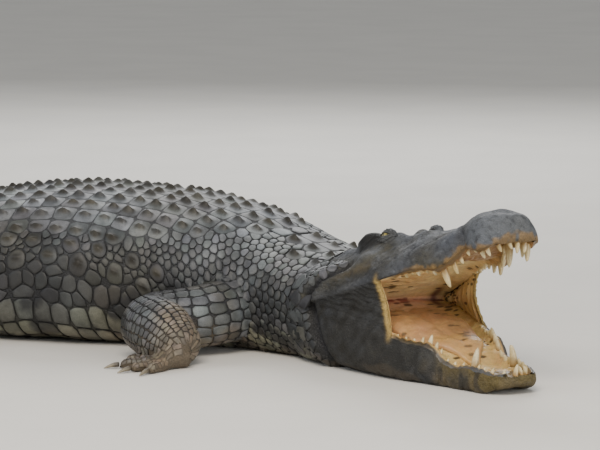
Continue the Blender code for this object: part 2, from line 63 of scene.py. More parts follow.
# station, degrees that the spine points to the left of straight ahead
HEADING = [
    (TAIL_TIP, -34),
    (-1.70, -22),
    (-1.2, 4),
    (-0.6, 12),
    (0.0, 2),
    (0.7, 0),
    (0.95, -7),
    (1.2, -22),
    (NECK_END, -37),
]
# station, half width, height, level of the widest point, squareness above it, below it
BODY = [
    (TAIL_TIP, 0.005, 0.016, 0.008, 2.0, 2.0),
    (-1.9, 0.020, 0.066, 0.032, 2.0, 2.2),
    (-1.5, 0.038, 0.110, 0.052, 1.9, 2.4),
    (-1.05, 0.066, 0.152, 0.068, 1.8, 2.6),
    (-0.6, 0.120, 0.206, 0.084, 1.8, 2.8),
    (-0.2, 0.196, 0.280, 0.110, 1.9, 3.0),
    (0.1, 0.275, 0.325, 0.130, 2.1, 3.0),
    (0.35, 0.360, 0.372, 0.150, 2.3, 3.0),
    (0.6, 0.392, 0.394, 0.155, 2.35, 3.0),
    (0.85, 0.358, 0.384, 0.150, 2.3, 3.0),
    (1.08, 0.288, 0.346, 0.145, 2.25, 3.0),
    (1.25, 0.230, 0.294, 0.140, 2.2, 3.0),
    (NECK_END, 0.196, 0.248, 0.130, 2.2, 3.0),
]
UNDERCUT = 0.012


def smooth(table, x):
    """Values at x of the monotone cubic curves through the rows (position, value, ...) of a table."""
    rows = np.asarray(table, float)
    t, v = rows[:, 0], rows[:, 1:]
    slope = np.diff(v, axis=0) / np.diff(t)[:, None]
    before, after = slope[:-1], slope[1:]
    same = before * after > 0
    mean = np.where(same, 2 * before * after / np.where(same, before + after, 1), 0)
    tangent = np.vstack([slope[:1], mean, slope[-1:]])
    x = np.clip(np.atleast_1d(np.asarray(x, float)), t[0], t[-1])
    i = np.clip(np.searchsorted(t, x, side="right") - 1, 0, len(t) - 2)
    h = np.diff(t)[i][:, None]
    u = (x - t[i])[:, None] / h
    start = v[i] * (1 + 2 * u) + tangent[i] * h * u
    end = v[i + 1] * (3 - 2 * u) - tangent[i + 1] * h * (1 - u)
    return start * (1 - u) ** 2 + end * u**2


def step(low, high, x):
    """0 below low, 1 above high, smooth in between."""
    t = np.clip((x - low) / (high - low), 0, 1)
    return t * t * (3 - 2 * t)


def power(value, squareness):
    return np.sign(value) * np.abs(value) ** (2 / squareness)


def ripple(points, size, seed, waves=28):
    """Smooth noise of about -1 to 1 whose bumps are about size metres across."""
    random = np.random.default_rng(seed)
    points = np.asarray(points, float)
    directions = random.normal(size=(waves, points.shape[-1]))
    directions *= (random.uniform(0.6, 1.4, waves) / np.linalg.norm(directions, axis=1))[:, None]
    phases = random.uniform(0, 2 * np.pi, waves)
    total = np.zeros(points.shape[:-1])
    for direction, phase in zip(directions, phases):
        total += np.sin(points @ direction * (np.pi / size) + phase)
    return total / math.sqrt(waves)


print("half width at the middle of the trunk:", smooth(BODY, MID_TRUNK)[0][0].round(3), "m")

# %% The spine
def spine_curve():
    s = np.linspace(TAIL_TIP, NECK_END + 0.2, 1600)
    heading = np.radians(smooth(HEADING, s)[:, 0])
    middle = (heading[1:] + heading[:-1]) / 2
    x = np.concatenate([[0], np.cumsum(np.diff(s) * np.cos(middle))])
    y = np.concatenate([[0], np.cumsum(np.diff(s) * np.sin(middle))])
    return s, x - np.interp(MID_TRUNK, s, x), y - np.interp(MID_TRUNK, s, y), heading


SPINE = spine_curve()


def on_body(s, side, z):
    """The point at station s, side metres to the left of the spine and z above the floor."""
    x, y, a = (np.interp(s, SPINE[0], values) for values in SPINE[1:])
    return np.stack([x - side * np.sin(a), y + side * np.cos(a), z + 0 * x], axis=-1)


print("head turned by", round(math.degrees(SPINE[3][-1])), "degrees")

# %% [markdown]
# ## A map of the body
#
# Scales have to follow the body, so the body gets a map: s runs along the spine and v around it, in
# metres from the middle of the back, positive to the left. Half of each section is measured out
# once, from the back to the middle of the belly, and every point of the skin and of the scales then
# comes from the same map. The skin lies under the tips of the keels by the depth of the scales.

# %% The map of the body
KEEL_DEPTH = 0.015
HIDE_DEPTH = 0.005
MAP_S = np.linspace(TAIL_TIP, NECK_END, 900)
MAP_F = np.linspace(0, 1, 160)


def half_sections():
    """(y, z) over the map's stations and fractions, and the length around half of each section."""
    half, top, widest, above, below = smooth(BODY, MAP_S).T[:, :, None]
    thin = step(0.02, 0.10, half)
    half = half - HIDE_DEPTH * thin
    top = top - KEEL_DEPTH * step(0.05, 0.15, top)
    a = np.radians(np.linspace(90, -90, 400))[None, :]
    upper = np.sin(a) >= 0
    y = half * power(np.cos(a), np.where(upper, above, below))
    rise = np.where(upper, top - widest, widest + UNDERCUT)
    z = widest + rise * power(np.sin(a), np.where(upper, above, below))
    z = np.maximum(z, 0.004)
    walked = np.cumsum(np.hypot(np.diff(y, axis=1), np.diff(z, axis=1)), axis=1)
    walked = np.hstack([np.zeros((len(MAP_S), 1)), walked])
    fraction = walked / walked[:, -1:]
    grid = [
        np.stack([np.interp(MAP_F, f, yy), np.interp(MAP_F, f, zz)], axis=-1)
        for f, yy, zz in zip(fraction, y, z)
    ]
    return np.array(grid), walked[:, -1]


HALF_MAP, GIRTH = half_sections()


def flat_point(s, v):
    """The point of the plain body at (s, v), before folds."""
    girth = np.interp(s, MAP_S, GIRTH)
    i = np.clip((s - MAP_S[0]) / (MAP_S[1] - MAP_S[0]), 0, len(MAP_S) - 1.001)
    j = np.clip(np.abs(v) / girth, 0, 1) * (len(MAP_F) - 1.001)
    i0, j0 = i.astype(int), j.astype(int)
    fi, fj = (i - i0)[..., None], (j - j0)[..., None]
    low = HALF_MAP[i0, j0] * (1 - fj) + HALF_MAP[i0, j0 + 1] * fj
    high = HALF_MAP[i0 + 1, j0] * (1 - fj) + HALF_MAP[i0 + 1, j0 + 1] * fj
    yz = low * (1 - fi) + high * fi
    return on_body(s, yz[..., 0] * np.where(v < 0, -1, 1), yz[..., 1])


def folds(s, v):
    """How far the skin stands in or out: wrinkles of the neck and shoulder, and slack of the flank."""
    side = np.abs(v)
    girth = np.interp(s, MAP_S, GIRTH)
    place = np.stack([s, v], axis=-1)
    warp = 0.020 * ripple(place, 0.16, 3) + 0.006 * ripple(place, 0.05, 4)
    neck = step(1.02, 1.20, s) * step(0.10, 0.22, side) * step(1.0, 0.8, side / girth)
    ring = np.sin(2 * np.pi * (s + warp + 0.10 * side) / 0.062)
    slack = step(0.25, 0.40, side) * step(-0.1, 0.3, s) * step(1.15, 0.95, s)
    sag = 0.006 * ripple(place * [1.0, 0.6], 0.14, 5)
    return 0.0050 * neck * (1 - 2 * (1 - np.abs(ring)) ** 2 - 0.3) + slack * sag


def body_surface(s, v, height=0.0):
    """The skin at (s, v), or a point height above it."""
    s, v = np.broadcast_arrays(np.asarray(s, float), np.asarray(v, float))
    gap = 0.004
    along = flat_point(s + gap, v) - flat_point(s - gap, v)
    around = flat_point(s, v + gap) - flat_point(s, v - gap)
    normal = np.cross(along, around)
    normal /= np.maximum(np.linalg.norm(normal, axis=-1, keepdims=True), 1e-9)
    point = flat_point(s, v) + normal * (folds(s, v) + height)[..., None]
    point[..., 2] = np.maximum(point[..., 2], 0.0008)
    return point


print("length around the middle of the trunk:", round(2 * np.interp(MID_TRUNK, MAP_S, GIRTH), 2), "m")

# %% [markdown]
# ## The head
#
# The skull and the lower jaw are two boxes hinged at the jaw joint. Each gets its own frame, with X
# along the jaw and Z up, so that an eye or a tooth is placed as it is on the animal and the frame
# carries it to its place. The skull's frame is tilted up by the gape.

# %% Measures of the head
NECK_TO_JOINT = 0.038
JOINT_HEIGHT = 0.145
PITCH = math.radians(18.0)
MOUTH_BACK = 0.15
LIP = 0.012
MOUTH_SHARE = 0.95  # of a jaw's half width is flat, on the mouth's side
WIDE_GAPE = 0.12
# distance from the jaw joint, half width, lip, roof, squareness
UPPER = [
    (-0.12, 0.160, 0.000, 0.080, 2.6),
    (-0.03, 0.196, 0.000, 0.112, 2.7),
    (0.05, 0.196, 0.000, 0.122, 2.7),
    (0.14, 0.182, 0.000, 0.124, 2.3),
    (0.21, 0.174, 0.000, 0.120, 2.0),
    (0.27, 0.166, 0.000, 0.108, 1.8),
    (0.33, 0.153, 0.002, 0.103, 1.8),
    (0.40, 0.130, 0.004, 0.095, 2.1),
    (0.45, 0.117, -0.004, 0.085, 2.5),
    (0.49, 0.114, -0.012, 0.081, 2.5),
    (0.53, 0.098, -0.002, 0.085, 2.6),
    (0.575, 0.076, 0.020, 0.096, 2.6),
    (0.61, 0.085, 0.010, 0.098, 2.7),
    (0.645, 0.086, 0.002, 0.092, 2.7),
    (0.675, 0.076, 0.004, 0.080, 2.6),
    (0.692, 0.056, 0.009, 0.076, 2.4),
    (0.703, 0.030, 0.018, 0.062, 2.2),
]
# distance from the joint, half width, lip level, level of the widest point
LOWER = [
    (0.0, 0.196, JOINT_HEIGHT, 0.070),
    (0.10, 0.190, 0.138, 0.066),
    (0.20, 0.180, 0.128, 0.060),
    (0.30, 0.165, 0.117, 0.052),
    (0.34, 0.153, 0.105, 0.046),
    (0.38, 0.140, 0.097, 0.041),
    (0.43, 0.123, 0.096, 0.037),
    (0.455, 0.115, 0.085, 0.035),
    (0.49, 0.105, 0.058, 0.032),
    (0.52, 0.098, 0.053, 0.030),
    (0.56, 0.088, 0.056, 0.028),
    (0.60, 0.084, 0.054, 0.028),
    (0.64, 0.071, 0.048, 0.027),
    (0.67, 0.048, 0.050, 0.026),
    (0.687, 0.024, 0.042, 0.024),
]
JAW_REAR = [(-0.12, 0.150), (-0.03, 0.190), (0.0, 0.196)]
EYE = (0.262, 0.068, 0.109)
EYE_RADIUS = 0.021
# mounds on the skull's roof: distance, to the side, height, spread
BROW = (0.262, 0.064, 0.026, 0.042)
TABLE_CORNER = (0.197, 0.082, 0.030, 0.034)
NOSE = (0.650, 0.0, 0.006, 0.028)


def head_frame():
    turn = Matrix.Rotation(float(np.interp(NECK_END, SPINE[0], SPINE[3])), 4, "Z")
    start = Vector(on_body(NECK_END, 0.0, 0.0))
    return Matrix.Translation(start) @ turn @ Matrix.Translation((NECK_TO_JOINT, 0, 0))


HEAD = head_frame()
SKULL = HEAD @ Matrix.Translation((0, 0, JOINT_HEIGHT)) @ Matrix.Rotation(-PITCH, 4, "Y")


def placed(points, frame_matrix):
    """The points carried by a frame, as one array."""
    m = np.array(frame_matrix)
    return np.asarray(points, float) @ m[:3, :3].T + m[:3, 3]


def local(points, frame_matrix):
    """The points as that frame sees them."""
    return placed(points, frame_matrix.inverted())


print("jaw joint at", [round(v, 3) for v in placed([0, 0, JOINT_HEIGHT], HEAD)])

# %% Lofting
SKIN_DEPTH = 0.0015  # the head carries no tiles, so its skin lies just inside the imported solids


def link(name, data):
    """A new object in the scene that holds this data."""
    obj = bpy.data.objects.new(name, data)
    bpy.context.scene.collection.objects.link(obj)
    return obj


def walls(rings, around, steps=None):
    """Quads between neighbouring rings of so many points, or along the first steps of them."""
    here = np.arange(steps or around)
    after = (here + 1) % around
    low = np.arange(rings - 1)[:, None] * around
    high = low + around
    return np.stack([low + here, low + after, high + after, high + here], -1).reshape(-1, 4)


def loft(name, rings, closed=True):
    """A mesh through rings of equally many points: a tube with closed ends, or an open sheet."""
    rings = np.asarray(rings, float)
    count, around = rings.shape[:2]
    faces = walls(count, around, around if closed else around - 1).tolist()
    if closed:
        faces.append(list(range(around))[::-1])
        faces.append([(count - 1) * around + n for n in range(around)])
    mesh = bpy.data.meshes.new(name)
    mesh.from_pydata(rings.reshape(-1, 3).tolist(), [], faces)
    return link(name, mesh)


def facing_out(obj):
    bm = bmesh.new()
    bm.from_mesh(obj.data)
    bmesh.ops.recalc_face_normals(bm, faces=bm.faces)
    bm.to_mesh(obj.data)
    bm.free()
    return obj


print("skin lies", SKIN_DEPTH * 1000, "mm inside the skull's solids")

# %% [markdown]
# The skull's sections are half superellipses over a flat mouth side. Mounds carry the eyes, the
# raised corners of the skull's table behind them and the nostrils. Under the eye a rounded bony
# ridge runs back to the jaw joint, and the face falls away below it.

# %% Skull
def bump(x, middle, spread):
    return np.exp(-(((x - middle) / spread) ** 2))


def mounds(x, y):
    total = 0
    for ahead, side, height, spread in (BROW, TABLE_CORNER, NOSE):
        total = total + height * bump(x, ahead, spread) * bump(np.abs(y), side, 0.030)
    return total


def gum_width(x, table):
    half = smooth(table, x)[:, 0]
    return np.maximum(MOUTH_SHARE * half - LIP, 0.4 * half)


def skull_rings(xs, around=90):
    xs = np.asarray(xs)
    half, lip, roof, square = smooth(UPPER, xs).T[:, :, None]
    a = np.radians(np.linspace(0, 180, around))[None, :]
    x = xs[:, None] + 0 * a
    half, roof = half - SKIN_DEPTH, roof - SKIN_DEPTH
    y = half * power(np.cos(a), square)
    z = lip + (roof - lip) * power(np.sin(a), square) + mounds(x, y) * np.sin(a)
    hollow = bump(x, 0.335, 0.050) * bump(np.abs(y), 0.075, 0.028)
    table = bump(x, 0.11, 0.060) * bump(y, 0, 0.045)
    ridge = bump(x, 0.40, 0.06) * bump(np.abs(y), 0.040, 0.016)
    ridge = ridge + bump(x, 0.52, 0.05) * bump(y, 0, 0.02)
    z = z - 0.010 * hollow * np.sin(a) - 0.008 * table + 0.005 * ridge
    side = np.sin(a) * np.abs(np.cos(a)) ** 2
    temple = step(0.0, 0.06, x) * step(0.24, 0.17, x) * bump(np.abs(y), 0.135, 0.030)
    z = z - 0.020 * temple
    lips = bump(z - lip, 0.006, 0.010)
    wave = 0.5 + 0.5 * np.sin(2 * np.pi * x / 0.034)
    y = y + np.sign(y) * lips * step(0.28, 0.36, x) * (0.0022 * wave - 0.001)
    y = y - np.sign(y) * 0.004 * side * step(0.40, 0.30, x)
    inner = gum_width(xs, UPPER)[:, None]
    deep = (0.024 * ((xs > MOUTH_BACK) & (xs < 0.676)))[:, None]
    cap_y = np.hstack([-inner, -inner, inner, inner])
    cap_z = np.hstack([lip, lip + deep, lip + deep, lip])
    x = np.hstack([x, np.repeat(xs[:, None], 4, axis=1)])
    return np.stack([x, np.hstack([y, cap_y]), np.hstack([z, cap_z])], axis=-1)


def rounded_end(rings, tip, share):
    """Closes a loft with a dome: its last ring repeated, ever smaller, up to the tip."""
    last = rings[-1]
    middle = last.mean(axis=0)
    more = []
    for angle in np.radians([20, 40, 60, 75, 86]):
        ring = middle + (last - middle) * (share + (1 - share) * math.cos(angle))
        ring[:, 0] = last[:, 0] + (tip - last[0, 0]) * math.sin(angle)
        more.append(ring)
    return np.concatenate([rings, more])


skull_xs = np.linspace(-0.10, 0.694, 250)
skull_shape = rounded_end(skull_rings(skull_xs), 0.7035, 0.3)
flesh = [loft("skull", placed(skull_shape, SKULL))]
print("skull sections:", len(skull_xs))

# %% [markdown]
# The lower jaw rests on the floor. Behind the joint it follows the tilted skull, and the cheek
# between the two is a wall of muscle, hollowed from the mouth's side.

# %% Lower jaw and cheeks
def jaw_rings(xs, around=90):
    xs = np.asarray(xs)
    half, lip, widest = smooth(LOWER, xs).T[:, :, None]
    rear = xs[:, None] < 0
    half = np.where(rear, smooth(JAW_REAR, xs), half) - SKIN_DEPTH
    lip = np.where(rear, JOINT_HEIGHT + xs[:, None] * math.tan(PITCH), lip)
    widest = np.where(rear, lip * 0.49, widest)
    a = np.radians(np.linspace(180, 360, around))[None, :]
    y = half * power(np.cos(a), 2.8)
    z = np.maximum(widest + (widest + UNDERCUT) * power(np.sin(a), 2.8), GROUND)
    inner = gum_width(xs, LOWER)[:, None]
    deep = (0.022 * ((xs > MOUTH_BACK) & (xs < 0.674)))[:, None]
    edge = MOUTH_SHARE * half
    cap_y = np.hstack([edge, inner, inner, -inner, -inner, -edge])
    cap_z = np.hstack([lip, lip, lip - deep, lip - deep, lip, lip])
    x = np.repeat(xs[:, None], around + 6, axis=1)
    return np.stack([x, np.hstack([y, cap_y]), np.hstack([z, cap_z])], axis=-1)


def cheek_edge(t):
    """How far forwards the cheek's free edge stands, from the lower jaw (0) to the upper one (1)."""
    return 0.330 - 0.012 * np.sin(np.pi * t) - 0.044 * t


def cheek_wall(x, under=0.006, over=0.006, inside=0.004):
    """The cheek's lowest and highest level at x, and how far out it stands at both."""
    low = smooth(LOWER, x)[:, 1] - under
    high = JOINT_HEIGHT + x * math.tan(PITCH) + over
    below = MOUTH_SHARE * smooth(LOWER, x)[:, 0] - inside
    above = smooth(UPPER, x / math.cos(PITCH))[:, 0] - inside
    return low, high, below, above


def cheek_ring_points(x_share, t, side, depth):
    """A point of the cheek: x_share from the joint to the free edge, t from jaw to skull."""
    x = 0.02 + (cheek_edge(t) - 0.02) * x_share
    low, high, below, above = cheek_wall(x)
    gape = np.minimum(1, (high - low) / WIDE_GAPE)
    sag = 0.016 * np.sin(np.pi * t) * gape
    bend = ripple(np.stack([x, 0.12 * t], axis=-1), 0.07, 9)
    wrinkle = 0.0020 * np.sin(2 * np.pi * (high - low) * t / 0.019 + 1.3 * bend)
    y = below + (above - below) * t - sag + wrinkle * gape - depth
    return np.stack([x, side * y, low + (high - low) * t], axis=-1)


def cheek(name, side, thick=0.013):
    """One cheek: a curved wall with a rounded free edge."""
    xs, ts = np.meshgrid(np.linspace(0, 1, 110), np.linspace(0, 1, 60), indexing="ij")
    outer, inner = (
        cheek_ring_points(xs.ravel(), ts.ravel(), side, depth).reshape(*xs.shape, 3)
        for depth in (0.0, thick)
    )
    rings = np.concatenate([outer, inner[:, ::-1]], axis=1)
    return loft(name, placed(rings, HEAD))


jaw_tip = rounded_end(jaw_rings(np.linspace(-0.10, 0.678, 240)), 0.6855, 0.25)
flesh.append(loft("jaw", placed(jaw_tip, HEAD)))
flesh += [cheek("cheek_right", -1), cheek("cheek_left", 1)]
print("mouth corner", round(cheek_edge(0.0), 3), "m ahead of the joint")

# %% [markdown]
# ## Trunk, neck and tail
#
# The map already holds the whole tube, so its loft is one call. Neck folds and slack flanks come
# with it.

# %% Trunk
def trunk_rings():
    s = np.linspace(TAIL_TIP + 0.004, NECK_END + 0.03, 1100)
    share = np.linspace(-1, 1, 261)[:-1]
    girth = np.interp(s, MAP_S, GIRTH)
    return body_surface(s[:, None], share[None, :] * girth[:, None] * 0.9999)


flesh.append(loft("trunk", trunk_rings()))
# the flesh that shuts the throat: distance ahead of the joint, half width, half height
throat = [(0.0, 0.150, 0.115), (0.06, 0.165, 0.105), (0.115, 0.150, 0.085), (0.13, 0.120, 0.06)]
angles = np.radians(np.arange(0, 360, 6))
throat_rings = [
    np.stack([x + 0 * angles, w * np.cos(angles), 0.115 + 0.6 * x + h * np.sin(angles)], axis=-1)
    for x, w, h in throat
]
flesh.append(loft("throat", placed(throat_rings, HEAD)))
print("trunk length along the spine", round(NECK_END - TAIL_TIP, 2), "m")

# %% [markdown]
# ## Limbs
#
# A basking crocodile lies with its elbows and knees out. Each limb is two paths of round sections,
# above and below its elbow or knee, and each foot a low pad with toes. The radii along a path give
# the muscle, and fine creases run across it where the skin gathers.

# %% Measures of the limbs
FRONT_TOES = [(46, 0.085, 1), (23, 0.105, 1), (0, 0.115, 1), (-24, 0.100, 0), (-50, 0.075, 0)]
HIND_TOES = [(32, 0.125, 1), (10, 0.155, 1), (-11, 0.160, 1), (-33, 0.130, 0)]
# side, upper joints and lower joints as (ahead, to the side, height, radius), the foot's turn in
# degrees, its length to the knuckles, toes as (spread in degrees, length, whether it has a claw)
LIMBS = {
    "front_right": (
        -1,
        [(0.60, 0.20, 0.115, 0.084), (0.52, 0.34, 0.098, 0.080), (0.415, 0.410, 0.086, 0.077)],
        [(0.405, 0.420, 0.084, 0.077), (0.470, 0.490, 0.078, 0.080), (0.540, 0.535, 0.050, 0.060)],
        146,
        0.070,
        FRONT_TOES,
    ),
    "front_left": (
        1,
        [(0.56, 0.12, 0.130, 0.085), (0.50, 0.30, 0.110, 0.078), (0.42, 0.415, 0.090, 0.070)],
        [(0.420, 0.425, 0.088, 0.068), (0.530, 0.460, 0.075, 0.062), (0.630, 0.480, 0.048, 0.050)],
        18,
        0.085,
        FRONT_TOES,
    ),
    "hind_right": (
        -1,
        [(-0.52, 0.12, 0.170, 0.115), (-0.37, 0.320, 0.155, 0.100), (-0.21, 0.455, 0.120, 0.078)],
        [(-0.220, 0.470, 0.115, 0.075), (-0.370, 0.510, 0.088, 0.066), (-0.500, 0.530, 0.055, 0.052)],
        48,
        0.15,
        HIND_TOES,
    ),
    "hind_left": (
        1,
        [(-0.52, 0.12, 0.170, 0.115), (-0.40, 0.320, 0.155, 0.100), (-0.27, 0.465, 0.120, 0.078)],
        [(-0.280, 0.480, 0.115, 0.075), (-0.430, 0.530, 0.088, 0.066), (-0.560, 0.560, 0.055, 0.052)],
        34,
        0.15,
        HIND_TOES,
    ),
}
LIMB_DEPTH = 0.0045


print("limbs:", ", ".join(LIMBS))

# %% The path of a limb
def limb_path(side, joints, count=60):
    """Centres, directions and radii along a smooth path through three joints, past its far end."""
    rows = smooth([(i, *joint) for i, joint in enumerate(joints)], np.linspace(0, 2, count))
    path = rows[:, :3] * [1, side, 1]
    ahead = np.gradient(path, axis=0)
    ahead /= np.linalg.norm(ahead, axis=1)[:, None]
    radii = rows[:, 3] - LIMB_DEPTH
    cap = np.radians(np.linspace(0, 80, 9)[1:])[:, None]
    tail = path[-1] + ahead[-1] * radii[-1] * 0.62 * np.sin(cap)
    path = np.vstack([path, tail])
    ahead = np.vstack([ahead, np.repeat(ahead[-1:], len(cap), axis=0)])
    radii = np.concatenate([radii, radii[-1] * np.cos(cap[:, 0])])
    return path, ahead, radii


def tube_length(side, joints):
    """How far along the limb each place of its path lies."""
    path = limb_path(side, joints)[0]
    return np.concatenate([[0], np.cumsum(np.linalg.norm(np.diff(path, axis=0), axis=1))])


def across(direction):
    """Two unit vectors square to each direction: to the side, and up."""
    direction = np.atleast_2d(direction)
    side = np.cross(direction, [0, 0, 1])
    side /= np.linalg.norm(side, axis=1)[:, None]
    return side, np.cross(side, direction)


def limb_folds(t, girth_angle, size):
    """Creases across a limb: its skin gathers on the inside of the bend."""
    place = np.stack([t, size * girth_angle], axis=-1)
    ring = np.sin(2 * np.pi * (t + 0.007 * ripple(place, 0.08, 17)) / 0.030)
    return 0.0016 * (1 - 2 * (1 - np.abs(ring)) ** 3)


def limb_surface(side, joints, steps, angle, height=0.0):
    """Points around a limb at path steps and angles, height above its skin."""
    path, ahead, radii = limb_path(side, joints)
    index = np.arange(len(path))
    centre = np.stack([np.interp(steps, index, path[:, k]) for k in range(3)], axis=-1)
    way = np.stack([np.interp(steps, index, ahead[:, k]) for k in range(3)], axis=-1)
    way /= np.linalg.norm(way, axis=-1, keepdims=True)
    radius = np.interp(steps, index, radii)
    shape = steps.shape
    sideways, up = (v.reshape(*shape, 3) for v in across(way.reshape(-1, 3)))
    out = np.cos(angle)[..., None] * sideways + np.sin(angle)[..., None] * up
    t = np.interp(steps, index, tube_length(side, joints))
    swell = limb_folds(t, angle, 0.07)
    point = centre + out * (radius + swell + height)[..., None]
    point[..., 2] = np.maximum(point[..., 2], GROUND)
    return point


print("length of the right upper arm:", round(tube_length(*LIMBS["front_right"][:2])[-1], 3), "m")

# %% Limbs and feet
def level(angle):
    return np.array([math.cos(angle), math.sin(angle), 0.0])


def limb_loft(name, side, joints):
    steps = np.linspace(0, len(limb_path(side, joints)[0]) - 1, 90)[:, None]
    angle = np.radians(np.arange(0, 360, 4))[None, :]
    steps, angle = np.broadcast_arrays(steps, angle)
    return loft(name, limb_surface(side, joints, steps.copy(), angle.copy()))


def low_rings(start, along, sizes, count=40, around=48):
    """A low pad or toe: (share of the length, half width, height) in sizes, flat on the floor."""
    rows = smooth(sizes, np.linspace(sizes[0][0], sizes[-1][0], count))
    t = np.linspace(sizes[0][0], sizes[-1][0], count)
    a = np.radians(np.linspace(-90, 270, around, endpoint=False))
    side = np.array([along[1], -along[0], 0.0])
    length = np.linalg.norm(along)
    side /= length
    half, height = np.maximum(rows[:, :1] - 0.001, 0.001), np.maximum(rows[:, 1:2] - 0.001, 0.002)
    y = half * power(np.cos(a), 2.3)
    z = np.maximum(height * 0.45 + height * 0.55 * power(np.sin(a), 2.2), GROUND)
    return start + t[:, None, None] * along + y[..., None] * side + z[..., None] * [0, 0, 1]


def toe_places(side, lower, turn, palm, toes):
    """Where each toe starts, its direction, length and claw."""
    wrist = lower[-1]
    start = np.array([wrist[0], side * wrist[1], 0.0])
    heading = math.radians(side * turn)
    for i, (spread, length, clawed) in enumerate(toes):
        offset = side * math.sin(math.radians(spread)) * wrist[3]
        knuckle = start + level(heading) * (0.58 * palm - 0.0017 * i)
        knuckle = knuckle + offset * level(heading - math.pi / 2)
        yield knuckle, level(heading - side * math.radians(spread)), length, clawed


TOE = [
    (0.0, 0.019, 0.034),
    (0.25, 0.0165, 0.028),
    (0.42, 0.0180, 0.031),
    (0.58, 0.0145, 0.0245),
    (0.78, 0.0155, 0.0265),
    (0.93, 0.0120, 0.0205),
    (1.0, 0.0060, 0.0120),
]


def foot_pad(side, wrist, turn, palm):
    """Where the pad of a foot starts, its length as a vector, and its sizes."""
    ahead, out, _, wide = wrist
    shape = [(-0.25, 0.8, 1.2), (0.3, 1.02, 1.15), (0.7, 1.2, 0.8), (1.0, 1.05, 0.42)]
    sizes = [(t, half * wide, height * wide) for t, half, height in shape]
    return np.array([ahead, side * out, 0.0]), level(math.radians(side * turn)) * palm, sizes


def foot_lofts(name, side, lower, turn, palm, toes):
    made = [loft(f"{name}_pad", low_rings(*foot_pad(side, lower[-1], turn, palm)))]
    for i, (knuckle, way, length, _) in enumerate(toe_places(side, lower, turn, palm, toes)):
        made.append(loft(f"{name}_toe_{i}", low_rings(knuckle, way * length, TOE)))
    return made


for limb, (side, upper, lower, turn, palm, toes) in LIMBS.items():
    flesh.append(limb_loft(f"{limb}_upper", side, upper))
    flesh.append(limb_loft(f"{limb}_lower", side, lower))
    flesh += foot_lofts(limb, side, lower, turn, palm, toes)
print("pieces of flesh:", len(flesh))

# %% [markdown]
# ## One skin
#
# Joined pieces still show where they pass into each other. A voxel remesh throws the inner walls
# away and wraps one closed surface round the rest. A little smoothing then turns the sharp joins
# into creases, and Decimate spends the faces where they are seen: on the head, not under the
# scales.

# %% Voxel skin
def deselect():
    bpy.ops.object.select_all(action="DESELECT")


def select_only(objects, active):
    deselect()
    for obj in objects:
        obj.select_set(True)
    bpy.context.view_layer.objects.active = active


def apply_modifier(obj, kind, **settings):
    select_only([obj], obj)
    modifier = obj.modifiers.new(kind.lower(), kind)
    for key, value in settings.items():
        setattr(modifier, key, value)
    bpy.ops.object.modifier_apply(modifier=modifier.name)


def join(objects, name):
    """The objects as one, which takes that name."""
    select_only(objects, objects[0])
    bpy.ops.object.join()
    whole = bpy.context.view_layer.objects.active
    whole.name = whole.data.name = name
    return whole


def shade_smooth(obj):
    select_only([obj], obj)
    bpy.ops.object.shade_smooth()


def vectors(values, key):
    """What each vertex has under that key, as an array of threes."""
    flat = np.empty(len(values) * 3, np.float32)
    values.foreach_get(key, flat)
    return flat.reshape(-1, 3).astype(float)


def coordinates(mesh):
    return vectors(mesh.vertices, "co")


def normals(mesh):
    return vectors(mesh.vertex_normals, "vector")


def set_coordinates(mesh, points):
    mesh.vertices.foreach_set("co", np.asarray(points, np.float32).ravel())
    mesh.update()


for piece in flesh:
    facing_out(piece)
skin = join(flesh, "skin")
VOXEL = 0.0042
apply_modifier(skin, "REMESH", mode="VOXEL", voxel_size=VOXEL)
apply_modifier(skin, "SMOOTH", factor=0.5, iterations=5)
print("skin faces before thinning:", len(skin.data.polygons))

# %% Which part of the skin is head
def region_weights(points):
    """1 on the head and 0 on the body, with a soft border at the collar."""
    at = local(points, HEAD)
    return step(-0.09, -0.02, at[:, 0]) * step(0.35, 0.25, np.abs(at[:, 1]))


def thin(obj, most):
    """Collapses edges to at most so many triangles, keeping the head dense."""
    group = obj.vertex_groups.new(name="coarse")
    coarse = 1 - 0.97 * region_weights(coordinates(obj.data))
    for value in (0.0, 0.25, 0.5, 0.75):
        chosen = np.nonzero((coarse > value) & (coarse <= value + 0.25))[0]
        group.add(chosen.tolist(), value + 0.125, "REPLACE")
    obj.data.calc_loop_triangles()
    ratio = most / len(obj.data.loop_triangles)
    weights = {"vertex_group": "coarse", "vertex_group_factor": 1.0}
    apply_modifier(obj, "DECIMATE", ratio=ratio, use_collapse_triangulate=True, **weights)
    obj.vertex_groups.clear()


SKIN_TRIANGLES = 185000
thin(skin, SKIN_TRIANGLES)
print("skin triangles:", len(skin.data.polygons))

# %% [markdown]
# ## Details of the head
#
# The finest forms are pushed into the finished skin: each point near a feature moves along its own
# normal. A groove is a path and a depth, a swelling is a path and a height, so the nostrils, the ear
# slit and the ridges round the eye are all short lists of places on the skull.

# %% Grooves and swellings
def distance_to_path(points, path):
    """Distance from each point to the nearest place on a path."""
    path = np.asarray(path, float)
    best = np.full(len(points), 9.0)
    for a, b in zip(path, path[1:]):
        along = b - a
        t = np.clip((points - a) @ along / max(along @ along, 1e-12), 0, 1)
        best = np.minimum(best, np.linalg.norm(points - a - t[:, None] * along, axis=1))
    return best


def both_sides(path):
    return [path, [(x, -y, z) for x, y, z in path]]


def mound_along(points, path, height, width):
    total = np.zeros(len(points))
    for one in both_sides(path):
        total = np.maximum(total, np.abs(height) * bump(distance_to_path(points, one), 0, width))
    return total * np.sign(height)


print("paths are mirrored, so both sides carry each feature")

